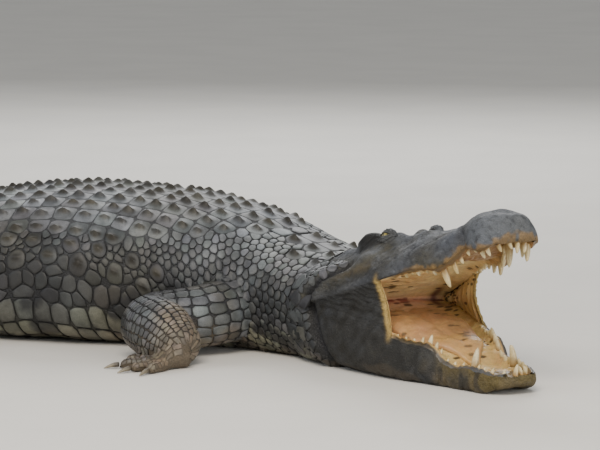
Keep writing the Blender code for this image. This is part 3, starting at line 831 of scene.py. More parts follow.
# %% Places of the head's features
EAR_SLIT = [(0.130, -0.118, 0.112), (0.165, -0.112, 0.116), (0.200, -0.104, 0.112)]
NOSTRIL = [(0.648, -0.012, 0.098), (0.656, -0.018, 0.097), (0.664, -0.018, 0.094)]
JUGAL_RIDGE = [(0.235, -0.125, 0.075), (0.18, -0.150, 0.070), (0.12, -0.172, 0.055), (0.05, -0.190, 0.035)]
CHEEK_HOLLOW = [(0.25, -0.158, 0.038), (0.19, -0.172, 0.035), (0.12, -0.186, 0.020)]
PITS = [(0.693, -0.033, 0.051), (0.694, 0.023, 0.057), (0.645, -0.060, 0.060), (0.600, -0.055, 0.060)]
PITS += [(0.505, -0.085, 0.045), (0.470, -0.100, 0.030), (0.430, -0.105, 0.035), (0.385, -0.115, 0.040)]
PITS += [(0.352, -0.125, 0.045), (0.30, -0.140, 0.048), (0.285, -0.128, 0.072), (0.33, -0.110, 0.070)]
# the raised back corner of the skull's table
TABLE_TOP = [(0.178, -0.086, 0.146), (0.205, -0.086, 0.148), (0.224, -0.082, 0.134)]
TABLE_REAR = [(0.168, -0.094, 0.120), (0.188, -0.090, 0.128)]
# the line from under the table's edge along the eye, the ridge ahead of it, the waist behind the nose
EYE_LINE = [(0.185, -0.122, 0.092), (0.225, -0.106, 0.1005), (0.247, -0.089, 0.106)]
CANTHUS = [(0.292, -0.058, 0.106), (0.345, -0.052, 0.102), (0.40, -0.056, 0.094)]
WAIST = [(0.547, -0.028, 0.088), (0.552, -0.064, 0.073), (0.570, -0.075, 0.053)]
WAIST += [(0.574, -0.078, 0.033), (0.576, -0.078, 0.014)]
# each feature's path, how far it stands out, and its width
FEATURES = [
    (JUGAL_RIDGE, 0.0085, 0.014),
    (CHEEK_HOLLOW, -0.0115, 0.018),
    (EAR_SLIT, -0.0050, 0.0045),
    (NOSTRIL, -0.0060, 0.0040),
    (TABLE_REAR, 0.0100, 0.015),
    (CANTHUS, 0.0085, 0.020),
    (EYE_LINE, -0.0050, 0.0042),
    (WAIST, -0.0095, 0.0085),
]
# the deep fold where the neck's collar meets the jaw: height, distance ahead of the joint
COLLAR = [(0.0, 0.118), (0.034, 0.103), (0.10, 0.058), (0.164, 0.029)]
COLLAR += [(0.21, 0.062), (0.253, 0.125), (0.30, 0.14)]
print("features:", len(FEATURES), "and", len(PITS), "pits")

# %% Relief of the head
def parts(points, frame_matrix):
    """The points' x, y and z as that frame sees them."""
    return np.moveaxis(local(points, frame_matrix), -1, 0)


def ahead_of_collar(points):
    """How far each place lies ahead of the collar's fold; 1 on the head's sides and 0 on its top."""
    x, y, z = parts(points, HEAD)
    gap = x - smooth(COLLAR, z.ravel())[:, 0].reshape(x.shape)
    side = step(0.10, 0.14, np.abs(y)) * step(0.285, 0.25, z)
    return gap * 0.8, side


def head_relief(points):
    """How far each skin point on the head moves out along its normal."""
    at = local(points, SKULL)
    move = sum(mound_along(at, *feature) for feature in FEATURES)
    move -= sum(0.0030 * bump(np.linalg.norm(at - pit, axis=1), 0, 0.0040) for pit in PITS)
    gap, side = ahead_of_collar(points)
    move += side * (0.0070 * bump(gap, -0.024, 0.016) - 0.0130 * bump(gap, 0.003, 0.009))
    upper = step(-0.01, 0.02, at[:, 2]) * step(0.02, 0.10, at[:, 0])
    move += 0.0014 * ripple(at, 0.022, 31) * upper
    crack = np.abs(ripple(at, 0.030, 33, 40))
    move -= 0.0018 * np.maximum(0, 1 - crack / 0.14) * upper
    return move


def pores(points, count=260, seed=91):
    """Fine pits strewn over the skin of the upper jaw: 1 in the middle of each."""
    at = local(points, SKULL)
    where = np.nonzero((at[:, 0] > 0.16) & (at[:, 2] > 0.008))[0]
    chosen = at[np.random.default_rng(seed).choice(where, count, replace=False)]
    total = np.zeros(len(points))
    for place, size in zip(chosen, np.random.default_rng(seed + 1).uniform(0.0020, 0.0034, count)):
        near = where[np.abs(at[where, 0] - place[0]) < 0.010]
        total[near] = np.maximum(total[near], bump(np.linalg.norm(at[near] - place, axis=1), 0, size))
    return total


def jaw_relief(points):
    """Blisters and seams of the lower jaw, and the rucked skin of the cheek."""
    at = local(points, HEAD)
    x, _, z = at.T
    low = step(0.0, 0.04, x) * step(0.14, 0.10, z)
    blisters = np.abs(ripple(at * [1, 1, 0.8], 0.024, 35))
    under = step(0.06, 0.02, z)
    rough = 0.0010 * ripple(at, 0.016, 36) - 0.0016 * np.maximum(0, 1 - blisters / 0.14) * (0.4 + under)
    ruck = np.sin(2 * np.pi * (z + 0.010 * ripple(at, 0.06, 37)) / 0.0125)
    slack = step(0.0, 0.05, x) * step(0.33, 0.29, x) * step(0.10, 0.13, z) * step(0.26, 0.22, z)
    seams = np.abs(ripple(at * [1.0, 1.0, 0.25], 0.016, 38)) + step(0.44, 0.38, x)
    rough = rough - 0.0028 * np.maximum(0, 1 - seams / 0.25)
    return low * rough + 0.0011 * ruck * slack


def shape_head():
    """Pushes the relief into the skin, and gives how far each of its points lies in a pore."""
    points = coordinates(skin.data)
    head = region_weights(points)
    pored = pores(points)
    relief = head_relief(points) + jaw_relief(points) - 0.0014 * pored
    points += normals(skin.data) * (relief * head)[:, None]
    points[:, 2] = np.maximum(points[:, 2], 0.0006)
    # the chin is rounded from below and the tip of the jaw set back
    at = local(points, HEAD)
    at[:, 2] += head * 0.026 * step(0.60, 0.70, at[:, 0]) * step(0.045, 0.0, at[:, 2])
    at[:, 0] -= head * 0.010 * step(0.655, 0.69, at[:, 0]) * step(0.12, 0.08, at[:, 2])
    set_coordinates(skin.data, placed(at, HEAD))
    print("points on the head:", int((head > 0.5).sum()))
    return pored


in_pore = shape_head()

# %% [markdown]
# ## Colour
#
# Hide is grey or olive on top and painted nearly black in its creases, where the black is painted
# shade, and mud and dust settle on the lower parts. One function gives the colour of a place on the
# animal from its place on the body, and both the skin and the tiles ask it, so their markings agree.
# The values are sRGB hex colours turned to linear light, because shaders work in linear light.

# %% Palette
def linear(code):
    """An sRGB hex colour as linear red, green and blue."""
    value = np.array([int(code[i : i + 2], 16) for i in (1, 3, 5)]) / 255
    return np.where(value <= 0.04045, value / 12.92, ((value + 0.055) / 1.055) ** 2.4)


GREY = linear("#4d4f50")
PALE = linear("#7a7f83")
OLIVE = linear("#474230")
BLACK = linear("#17171a")
# painted shade: the near black laid over the skin in the creases between the tiles
CREASE_SHADE = linear("#1d1d1f")
SLATE = linear("#474b53")
SLATE_DARK = linear("#232529")
LIP_BROWN = linear("#7d6238")
NOSE_GREY = linear("#575b60")
JAW_DARK = linear("#1e1d1a")
JAW_TIP = linear("#594c24")
TABLE_DARK = linear("#100f0c")
MARGIN = linear("#a88d50")
DUST = linear("#6f6250")
BELLY = linear("#73725f")


def mix(a, b, share):
    share = np.asarray(share)[..., None]
    return a * (1 - share) + b * share


def coated(colour, *coats):
    """A colour under coats of (colour, share), the last on top."""
    for tint, share in coats:
        colour = mix(colour, tint, share)
    return colour


print("grey of the flank in linear light:", GREY.round(3))

# %% The colours of a place
def hide_colour(points, side, station):
    """The colour of the hide: side is the share of the way from the back (0) to the belly (1)."""
    # the flank is painted darker and less pale: partly its own tone, partly painted shade, as light falls
    # from above
    flank = step(0.26, 0.44, side) * step(-0.3, 0.1, station)
    colour = coated(
        GREY,
        (PALE, np.clip(0.55 + 0.35 * ripple(points, 0.35, 51) - 0.4 * flank, 0, 1)),
        (OLIVE, (0.30 + 0.35 * flank) * step(-0.5, 0.7, ripple(points, 0.20, 52))),
        (BELLY, 0.55 * step(0.54, 0.62, side)),
    )
    colour = colour * (1 - 0.60 * flank * step(0.60, 0.52, side))[..., None]
    colour = colour * (1 + 0.22 * ripple(points, 0.045, 56))[..., None]
    blotch = ripple(points * [1.0, 1.0, 0.7], 0.050, 53) + 0.30 * np.cos(2 * np.pi * station / 0.21)
    dark = step(0.20, 0.38, blotch) * (0.20 + 0.80 * step(0.48, 0.56, side))
    bands = step(0.35, 0.9, np.cos(2 * np.pi * station / 0.26) + 0.6 * ripple(points, 0.11, 54))
    dark = np.maximum(dark, bands * step(-0.1, -0.5, station) * 0.75)
    dusty = step(0.050, 0.005, points[..., 2] + 0.02 * ripple(points, 0.05, 55))
    return coated(colour, (BLACK, 0.85 * dark), (DUST, 0.30 * dusty))


# grooves painted near black as painted shade: the path of each and the width of its mark
SHADED_GROOVES = [(EAR_SLIT, 0.006), (NOSTRIL, 0.004), (EYE_LINE, 0.0055), (WAIST, 0.007)]


def head_colour(points):
    """The colour of the head's skin: x, y, z are in the skull's frame, ahead, out, up in the jaw's."""
    at, below = local(points, SKULL), local(points, HEAD)
    x, y, z = np.moveaxis(at, -1, 0)
    ahead, out, up = np.moveaxis(below, -1, 0)
    flat = at.reshape(-1, 3)

    def mottle(size, seed):
        return ripple(flat, size, seed).reshape(x.shape)

    def along(path, width):
        return mound_along(flat, path, 1.0, width).reshape(x.shape)

    jaw = step(0.012, -0.012, z) * step(-0.05, 0.0, ahead)
    crown = step(0.055, 0.085, z) * step(0.10, 0.25, x)
    over_lip = z - smooth(UPPER, flat[:, 0])[:, 1].reshape(x.shape)
    fringe = 0.008 + 0.006 * mottle(0.013, 63)
    gum = step(fringe + 0.005, fringe - 0.005, over_lip) * step(-0.03, -0.01, over_lip)
    t = (up - 0.11) / 0.13
    margin = bump(ahead, cheek_edge(np.clip(t, 0, 1)) - 0.001, 0.007)
    margin = margin * step(0.2, -0.1, np.abs(t - 0.5) - 0.5) * step(0.10, 0.12, np.abs(out))
    streak = ripple(below * [1.0, 1.0, 0.25], 0.012, 75) * jaw * step(0.36, 0.44, ahead)
    hollow = along(CHEEK_HOLLOW, 0.020)
    temple = step(-0.003, 0.004, z - np.interp(x, [0.185, 0.225, 0.255], [0.092, 0.1005, 0.108]))
    temple = temple * step(0.165, 0.185, x) * step(0.258, 0.240, x) * step(0.055, 0.070, np.abs(y))
    gap, side = ahead_of_collar(points)
    return coated(
        mix(SLATE, SLATE_DARK, np.clip(0.42 + 0.30 * mottle(0.05, 61), 0, 1)),
        (OLIVE, np.clip(0.30 + 0.30 * mottle(0.07, 65), 0, 0.8)),
        (NOSE_GREY, 0.75 * step(0.54, 0.64, x) * step(0.0, 0.02, z)),
        (NOSE_GREY, crown * np.clip(0.25 + 0.30 * mottle(0.026, 66), 0, 1)),
        (SLATE_DARK, 0.50 * step(0.2, 1.1, mottle(0.009, 62))),
        (NOSE_GREY, 0.35 * step(0.3, 1.2, mottle(0.011, 70)) * step(0.57, 0.54, x)),
        # painted highlight: the raised jugal ridge is painted lighter
        (NOSE_GREY, 0.55 * along(JUGAL_RIDGE, 0.014)),
        (JAW_DARK, 0.88 * jaw * step(0.62, 0.36, ahead) * (1 - 0.15 * mottle(0.02, 67))),
        (JAW_TIP, 0.80 * jaw * step(0.42, 0.60, ahead + 0.03 * mottle(0.03, 68))),
        (LIP_BROWN, 0.70 * gum * step(0.36, 0.44, x)),
        (MARGIN, 0.85 * margin),
        (JAW_DARK, 0.75 * step(0.3, 0.9, streak)),
        (TABLE_DARK, 0.95 * along(TABLE_TOP, 0.034)),
        # painted shade: the hollow under the jugal ridge is painted dark
        (JAW_DARK, 0.8 * hollow),
        (MARGIN * 0.5, 0.5 * hollow * step(0.03, 0.05, z) * step(0.12, 0.16, x)),
        (TABLE_DARK, 0.92 * temple),
        # painted shade: the grooves and the pits are painted near black
        *((BLACK, 0.85 * along(path, width)) for path, width in SHADED_GROOVES),
        *((BLACK, 0.85 * bump(np.linalg.norm(at - pit, axis=-1), 0, 0.0042)) for pit in PITS),
        # painted shade: the deep fold at the collar is painted near black
        (BLACK, 0.95 * side * bump(gap, 0.003, 0.014)),
        (DUST, 0.2 * step(0.030, 0.005, points[..., 2] + 0.02 * mottle(0.04, 64))),
    )


print("dark lines on each side of the head:", len(SHADED_GROOVES))

# %% Paint on a mesh
def paint(mesh, colours, name="tint"):
    """Writes one colour for each vertex of a mesh."""
    layer = mesh.color_attributes.new(name, "FLOAT_COLOR", "POINT")
    rgba = np.ones((len(mesh.vertices), 4), np.float32)
    rgba[:, :3] = np.clip(colours, 0, 1)
    layer.data.foreach_set("color", rgba.ravel())


def body_place(points):
    """For points near the trunk: station, and the share of the way from back to belly."""
    s, x, y, _ = SPINE
    coarse = slice(None, None, 8)
    gap = (points[:, None, 0] - x[None, coarse]) ** 2 + (points[:, None, 1] - y[None, coarse]) ** 2
    station = s[coarse][np.argmin(gap, axis=1)]
    top = smooth(BODY, station)[:, 1]
    centre = on_body(station, 0.0, 0.0)
    away = np.linalg.norm(points[:, :2] - centre[:, :2], axis=1)
    side = 1 - np.clip(points[:, 2] / top, 0, 1)
    side = np.maximum(side * 0.8, 0) * step(0.0, 0.1, away + side)
    return station, side


def paint_skin():
    """Paints the head's colours on the head, and on the body the creases between tiles, darkened as painted
    shade.
    """
    points = coordinates(skin.data)
    places = [body_place(chunk) for chunk in np.array_split(points, 40)]
    station, side = (np.concatenate(values) for values in zip(*places))
    from_spine = np.abs(points[:, 1] - on_body(station, 0.0, 0.0)[:, 1])
    beside = step(0.02, 0.06, from_spine - smooth(BODY, station)[:, 0])
    hide = coated(
        hide_colour(points, side, station),
        # painted shade: the skin shows only in the creases between tiles, so it is painted near black
        (CREASE_SHADE, 0.80),
        (DUST * 0.75, 0.8 * beside * step(0.12, 0.04, points[:, 2])),
    )
    # painted shade: the pores, which are small dents, are painted darker
    head = mix(head_colour(points), BLACK, 0.5 * in_pore)
    paint(skin.data, mix(hide, head, region_weights(points)))
    print("skin painted:", len(points), "points")


paint_skin()

# %% [markdown]
# ## Materials
#
# Crocodile hide is keratin over thick dermis: it is matt where dry, and a little glossier on worn
# tile tops. Colour comes from the painted attribute, broken up by two noises, and the bump adds the
# fine wrinkles that are too small to model. All pattern sizes are worked out from millimetres.

# %% A helper to add a node
def add(tree, kind, settings=None, **links):
    """Adds a node, sets its properties and inputs, and links those inputs given as sockets."""
    made = tree.nodes.new(kind)
    for key, value in (settings or {}).items():
        if key in made.inputs:
            made.inputs[key].default_value = value
        else:
            setattr(made, key, value)
    for key, value in links.items():
        tree.links.new(value, made.inputs[key.replace("_", " ")])
    return made


def new_material(name):
    material = bpy.data.materials.new(name)
    material.use_nodes = True
    tree = material.node_tree
    return material, tree, tree.nodes["Principled BSDF"]


def per_metre(millimetres):
    """Scale of a noise or cell texture whose features are this many millimetres across."""
    return 1000.0 / millimetres


def varied(tree, colour, place, size, low, high):
    """A colour multiplied by a noise that runs from low to high."""
    noise = add(tree, "ShaderNodeTexNoise", {"Scale": per_metre(size), "Detail": 4.0}, Vector=place)
    levels = {"From Min": 0.3, "From Max": 0.7, "To Min": low, "To Max": high}
    share = add(tree, "ShaderNodeMapRange", levels, Value=noise.outputs["Fac"])
    scaled = add(tree, "ShaderNodeVectorMath", {"operation": "SCALE"}, Vector=colour)
    tree.links.new(share.outputs["Result"], scaled.inputs["Scale"])
    return scaled.outputs["Vector"]


print("a noise of 2.5 mm has the scale", per_metre(2.5))

# %% Painted hide, horn and lining
def painted(name, roughness, specular, fine, coarse, cells=None):
    """A material coloured by the tint attribute. Its noises are (size, contrast, depth of the bump)
    and its cells (size, depth), sizes and depths in millimetres."""
    material, tree, shader = new_material(name)
    place = add(tree, "ShaderNodeTexCoord").outputs["Object"]
    colour = add(tree, "ShaderNodeAttribute", {"attribute_name": "tint"}).outputs["Color"]
    for size, contrast, _ in (coarse, fine):
        colour = varied(tree, colour, place, size, 1 - contrast, 1 + contrast)
    tree.links.new(colour, shader.inputs["Base Color"])
    heights = []
    for size, _, depth in (fine, coarse):
        noise = add(tree, "ShaderNodeTexNoise", {"Scale": per_metre(size), "Detail": 6.0}, Vector=place)
        heights.append((noise.outputs["Fac"], depth))
    if cells:
        to_edge = {"Scale": per_metre(cells[0]), "feature": "DISTANCE_TO_EDGE"}
        crease = add(tree, "ShaderNodeTexVoronoi", to_edge, Vector=place).outputs["Distance"]
        levels = {"From Min": 0.0, "From Max": 0.16, "To Min": 0.0, "To Max": 1.0}
        flat = add(tree, "ShaderNodeMapRange", levels, Value=crease)
        heights.append((flat.outputs["Result"], cells[1]))
    normal = {}
    for height, depth in heights:
        settings = {"Strength": 1.0, "Distance": depth / 1000}
        raised = add(tree, "ShaderNodeBump", settings, Height=height, **normal)
        normal = {"Normal": raised.outputs["Normal"]}
    tree.links.new(normal["Normal"], shader.inputs["Normal"])
    shader.inputs["Roughness"].default_value = roughness
    shader.inputs["Specular IOR Level"].default_value = specular
    return material


# dermis: leathery, matt, finely wrinkled; its cells are 7 mm, as on the folds between tiles
DERMIS = painted("leathery_dermis", 0.62, 0.35, (2.5, 0.22, 0.5), (16, 0.16, 1.0), (7, 0.9))
# keratin tiles: worn smooth on top, with growth wrinkles about 3 mm apart
KERATIN = painted("keratin_tiles", 0.52, 0.42, (3.0, 0.18, 0.5), (22, 0.22, 0.9))
skin.data.materials.clear()
skin.data.materials.append(DERMIS)
shade_smooth(skin)
print("materials:", DERMIS.name, KERATIN.name)

# %% [markdown]
# ## Tiles
#
# Every scale grows from one site on the map and reaches halfway to its neighbours, less a gap.
# Along any direction its edge is the nearest such halfway line, and a soft minimum over the
# neighbours rounds the corners. Heavier sites push their neighbours back, which makes the large oval
# scutes of the flank stand among small ones. Each tile is then raised in rings: a wall, a rounded
# shoulder and a crown, with a keel where the animal has one.

# %% Tile outlines
from mathutils.bvhtree import BVHTree
from mathutils.kdtree import KDTree


def outlines(sites, radii, gap, corners=12, sharp=7.0, wrap=None):
    """Edge of each site's tile at equally spaced directions, as offsets on the map in metres."""
    count = len(sites)
    every, owner = sites, np.arange(count)
    if wrap is not None:
        turned = [sites + [0, wrap], sites - [0, wrap]]
        every = np.concatenate([sites, *turned])
        owner = np.concatenate([owner] * 3)
    tree = KDTree(len(every))
    for i, (u, v) in enumerate(every):
        tree.insert((u, v, 0.0), i)
    tree.balance()
    near = min(20, len(every) - 1)
    found = np.array([[n[1] for n in tree.find_n((u, v, 0.0), near + 1)][1:] for u, v in sites])
    away = every[found] - sites[:, None, :]
    length = np.maximum(np.linalg.norm(away, axis=2), 1e-6)
    heavier = radii[:, None] ** 2 - radii[owner[found]] ** 2
    reach = np.maximum((length**2 + heavier) / (2 * length) - gap / 2, 0.0015)
    angle = 2 * np.pi * np.arange(corners) / corners
    way = np.stack([np.cos(angle), np.sin(angle)], axis=-1)
    facing = np.einsum("ijk,lk->ijl", away / length[..., None], way)
    closeness = np.maximum(facing, 0) / reach[..., None]
    edge = (np.sum(closeness**sharp, axis=1) + 1e-9) ** (-1 / sharp)
    edge = np.minimum(edge, 0.055)
    return edge[..., None] * way


def lattice(low, high, size, stagger, jitter, seed):
    """Sites in rows: size is the spacing along and around, jitter a share of it."""
    random = np.random.default_rng(seed)
    rows = max(1, round((high[0] - low[0]) / size[0]))
    columns = max(1, round((high[1] - low[1]) / size[1]))
    i, j = np.meshgrid(np.arange(rows), np.arange(columns), indexing="ij")
    u = low[0] + (i + 0.5 + stagger * (j % 2)) * (high[0] - low[0]) / rows
    v = low[1] + (j + 0.5) * (high[1] - low[1]) / columns
    sites = np.stack([u.ravel(), v.ravel()], axis=-1)
    return sites + random.uniform(-jitter, jitter, sites.shape) * size


def tree_of(mesh):
    """A tree of the mesh's faces that answers where a ray hits it and which place is nearest."""
    return BVHTree.FromPolygons(coordinates(mesh).tolist(), [tuple(p.vertices) for p in mesh.polygons])


skin_tree = tree_of(skin.data)


def settle(points, outward, reach=0.030):
    """Drops points onto the finished skin along a direction; gives the places and how far they moved."""
    moved = np.zeros(len(points))
    for i, (point, way) in enumerate(zip(points, outward)):
        start = Vector(point + way * reach)
        hit = skin_tree.ray_cast(start, Vector(-way), 2.2 * reach)
        moved[i] = reach - hit[3] if hit[0] is not None else -9.0
    return points + outward * np.where(moved > -1, moved, 0)[:, None], moved


print("skin tree ready")

# %% Raising tiles
PLAIN_RINGS = [(1.0, -0.6), (0.985, 0.45), (0.90, 0.86), (0.62, 1.0)]
KEEL_RINGS = [(1.0, -0.6), (0.98, 0.40), (0.88, 0.75), (0.66, 0.92), (0.42, 1.0), (0.20, 1.0)]


def raise_tiles(surface, sites, edges, height, keel=None, keel_width=0.26, hidden=0.014, reach=0.030):
    """Rings of points for every tile, which tiles show, and how much of each point is keel."""
    count, corners = edges.shape[:2]
    rings = PLAIN_RINGS if keel is None else KEEL_RINGS
    around = sites[:, None, :] + edges
    places = np.concatenate([sites[:, None, :], around], axis=1).reshape(-1, 2)
    base = surface(places[:, 0], places[:, 1], 0.0)
    out = surface(places[:, 0], places[:, 1], 0.004) - base
    out /= np.maximum(np.linalg.norm(out, axis=1, keepdims=True), 1e-9)
    settled, moved = settle(base, out, reach)
    settled, out = settled.reshape(count, -1, 3), out.reshape(count, -1, 3)
    moved = moved.reshape(count, -1)
    stay = (np.abs(moved[:, 0]) < hidden) & (np.median(np.abs(moved), axis=1) < hidden)
    change = np.clip(moved, moved[:, :1] - 0.006, moved[:, :1] + 0.006)
    settled = base.reshape(count, -1, 3) + out * change[..., None]
    centre, rim = settled[:, :1], settled[:, 1:]
    centre_out, rim_out = out[:, :1], out[:, 1:]
    spread = np.linalg.norm(edges, axis=2, keepdims=True)
    angle = 2 * np.pi * np.arange(corners) / corners
    stack, keeled = [], []
    for share, rise in [*rings, (0.0, 1.04)]:
        place = centre + (rim - centre) * share
        way = centre_out + (rim_out - centre_out) * share
        lift = np.full((count, corners), rise) * height[:, None]
        crest = np.zeros((count, corners))
        if keel is not None and rise > 0:
            half_wide = spread[:, [corners // 4], 0]
            half_long = spread[:, [0], 0]
            over = share * spread[..., 0] * np.sin(angle) / half_wide
            along = share * spread[..., 0] * np.cos(angle) / half_long
            tent = np.clip(1 - np.abs(along + 0.12) / 0.72, 0, 1) ** 0.7
            crest = np.exp(-np.abs(over / keel_width) ** 1.3) * tent
            lift = lift + keel[:, None] * crest
        keeled.append(crest)
        stack.append(place + way * lift[..., None])
    return np.stack(stack, axis=1), stay, np.stack(keeled, axis=1)


print("tile rings:", len(PLAIN_RINGS), "plain,", len(KEEL_RINGS), "keeled")

# %% One mesh of tiles
KEEL_TINT = linear("#17140f")
# the unwrapped hide: its length and width in metres, and half a tile's patch as a share of the map
HIDE_LENGTH = 3.8
HIDE_WIDTH = 2.6
PATCH = 0.0015


def tile_faces(count, rings, corners):
    """Faces of one closed tile after another: a floor, walls and a crown."""
    k = np.arange(corners)
    quads = walls(rings, corners)
    top = rings * corners
    fan = np.stack([top - corners + k, top - corners + (k + 1) % corners, np.full(corners, top)], -1)
    each = top + 1
    faces = []
    for start in range(0, count * each, each):
        faces.extend((quads + start).tolist())
        faces.extend((fan + start).tolist())
        faces.append((k[::-1] + start).tolist())
    return faces


def build_tiles(
    name, surface, sites, edges, height, colour, side_of,
    keel=None, chart=None, seam=0.22, hidden=0.014, reach=0.03,
):
    """One joined mesh of tiles, painted, with its bake map."""
    stack, stay, keeled = raise_tiles(surface, sites, edges, height, keel, hidden=hidden, reach=reach)
    if not stay.any():
        print(name, "is all hidden")
        return None
    stack, keeled, sites, edges = stack[stay], keeled[stay], sites[stay], edges[stay]
    count, levels, corners = stack.shape[:3]
    rings = levels - 1
    points = np.concatenate([stack[:, :-1].reshape(count, -1, 3), stack[:, -1, :1]], axis=1)
    points[..., 2] = np.maximum(points[..., 2], 0.0004)
    mesh = bpy.data.meshes.new(name)
    mesh.from_pydata(points.reshape(-1, 3).tolist(), [], tile_faces(count, rings, corners))
    share = np.array([r[0] for r in (PLAIN_RINGS if keel is None else KEEL_RINGS)])
    rise = np.concatenate([np.repeat(step(1.0, 0.86, share), corners), [1.0]])
    random = np.random.default_rng(len(name))
    top = colour(points, side_of(sites)[:, None], sites[:, :1])
    top = top * random.uniform(0.66, 1.30, (count, 1, 1)) * random.uniform(0.96, 1.04, (count, 1, 3))
    # painted shade: each tile darkens towards its rim, where it meets the creases, to seam times its colour
    shade = top * (seam + (1 - seam) * rise[None, :, None])
    if keel is not None:
        dark = np.concatenate([keeled[:, :-1].reshape(count, -1), keeled[:, -1, :1]], axis=1)
        dark = step(0.01, 0.32, dark) * random.uniform(0.75, 1.0, (count, 1))
        tint = mix(KEEL_TINT, OLIVE, random.uniform(0, 0.4, (count, 1)))
        shade = mix(shade, tint, dark)
    paint(mesh, shade.reshape(-1, 3))
    bake_map(mesh, sites, edges, share, chart or chart_of)
    mesh.materials.append(KERATIN)
    obj = link(name, mesh)
    select_only([obj], obj)
    bpy.ops.object.shade_smooth_by_angle(angle=math.radians(50))
    print(name, count, "tiles,", sum(len(p.vertices) - 2 for p in mesh.polygons), "triangles")
    return obj


def chart_of(sites):
    """Where a site lies on the unwrapped hide, from 0 to 1."""
    return np.stack([(sites[:, 0] - TAIL_TIP) / HIDE_LENGTH, sites[:, 1] / HIDE_WIDTH + 0.5], axis=-1)


def write_map(mesh, places):
    """Writes each vertex's place on the unwrapped hide to every corner of the mesh that it has."""
    layer = mesh.uv_layers.new(name="OFBake")
    loops = np.empty(len(mesh.loops), np.int32)
    mesh.loops.foreach_get("vertex_index", loops)
    layer.data.foreach_set("uv", places[loops].astype(np.float32).ravel())


def bake_map(mesh, sites, edges, share, chart):
    """Each tile is a small patch at its root's place on the unwrapped hide."""
    size = np.maximum(np.linalg.norm(edges, axis=2).max(axis=1), 1e-4)
    flat = edges / size[:, None, None] * PATCH
    rings = (share[None, :, None, None] * flat[:, None]).reshape(len(sites), -1, 2)
    each = np.concatenate([rings, np.zeros((len(sites), 1, 2))], axis=1) + chart(sites)[:, None, :]
    write_map(mesh, each.reshape(-1, 2))


def girth_at(s):
    return np.interp(s, MAP_S, GIRTH)


def side_share(sites):
    return np.abs(sites[:, 1]) / girth_at(sites[:, 0])


print("the unwrapped hide is", HIDE_LENGTH, "by", HIDE_WIDTH, "m")

# %% [markdown]
# The back carries rows of keeled bony scutes, one row to a vertebra, so they are on a nearly square
# lattice. Below them come large ovals among small scales, and from the widest level down plain
# oblong tiles in cross rows. The shoulder and neck have small lozenges, with a shield of ten large
# scutes behind the skull. The sites of all kinds go into one pool, so every tile meets its
# neighbours.

# %% Sites on the trunk and neck
def back_half(s):
    """Half width of the keeled shield, around the body."""
    rows = [(-0.55, 0.10), (-0.1, 0.22), (0.3, 0.35), (0.8, 0.34), (1.05, 0.22), (1.20, 0.10), (1.5, 0.08)]
    return smooth(rows, s)[:, 0]


def low_edge(s):
    """Where the oblong tiles of the lower flank begin, around the body."""
    return smooth([(-0.3, 0.38), (0.3, 0.52), (0.8, 0.53), (1.1, 0.45), (1.5, 0.38)], s)[:, 0]


# one half of the neck's shield: station, distance from the middle
NUCHAL = [(1.335, 0.036), (1.335, 0.098), (1.265, 0.040), (1.405, 0.030), (1.425, 0.090)]
# bands of small tiles: from and to along the spine, from and to around the body, size, seed
SMALL_BANDS = [
    (-0.14, 1.00, 0.03, 0.43, 0.0200, 14),
    (-0.14, 1.00, 0.43, 0.99, 0.0360, 34),
    (1.00, NECK_END + 0.02, 0.03, 0.99, 0.0235, 24),
]


def trunk_sites():
    """(sites, radii, kinds): kind 0 small, 1 keeled, 2 oval, 3 oblong."""
    pool = []
    back = lattice((-0.14, -0.36), (1.19, 0.36), (0.058, 0.058), 0.0, 0.10, 1)
    back = back[np.abs(back[:, 1]) < back_half(back[:, 0])]
    pool.append((back, 0.022, 1))
    for side in (-1, 1):
        oval = lattice((-0.10, 0.345), (1.02, 0.445), (0.092, 0.050), 0.5, 0.15, 4 + side)
        oval = oval[oval[:, 1] > back_half(oval[:, 0]) + 0.012]
        pool.append((oval * [1, side], 0.025, 2))
        nuchal = np.array([(s, side * v) for s, v in NUCHAL])
        pool.append((nuchal, 0.026, 1))
        under = lattice((-0.14, 0.44), (1.02, 1.0), (0.052, 0.076), 0.0, 0.07, 8 + side)
        keep = (under[:, 1] > low_edge(under[:, 0])) & (under[:, 1] < girth_at(under[:, 0]) - 0.02)
        pool.append((under[keep] * [1, side], 0.022, 3))
    large = np.concatenate([p[0] for p in pool])
    for side in (-1, 1):
        for low, high, start, end, size, seed in SMALL_BANDS:
            small = lattice((low, start), (high, end), (size * 1.15, size), 0.5, 0.22, seed + side)
            inside = small[:, 1] < back_half(small[:, 0]) * (small[:, 0] < 1.19) + 0.004
            below = (small[:, 1] > low_edge(small[:, 0]) - 0.01) & (small[:, 0] < 1.0)
            small = small[~inside & ~below & (small[:, 1] < girth_at(small[:, 0]) - 0.015)] * [1, side]
            gap = np.linalg.norm((small[:, None] - large[None]) / [1.3, 1.0], axis=2).min(axis=1)
            pool.append((small[gap > 0.014 + 0.55 * size], size * 0.42, 0))
    sites = np.concatenate([p[0] for p in pool])
    radii = np.concatenate([np.full(len(p[0]), p[1]) for p in pool])
    kinds = np.concatenate([np.full(len(p[0]), p[2]) for p in pool])
    return sites, radii, kinds


trunk, trunk_radii, trunk_kinds = trunk_sites()
print("trunk sites by kind:", np.bincount(trunk_kinds).tolist())

# %% Tiles of the trunk
coat = []
GROOVE = 0.0016
plain_edges = outlines(trunk, trunk_radii, GROOVE, sharp=11.0)
keel_edges = outlines(trunk, trunk_radii, GROOVE, corners=16, sharp=10.0)
random = np.random.default_rng(5)
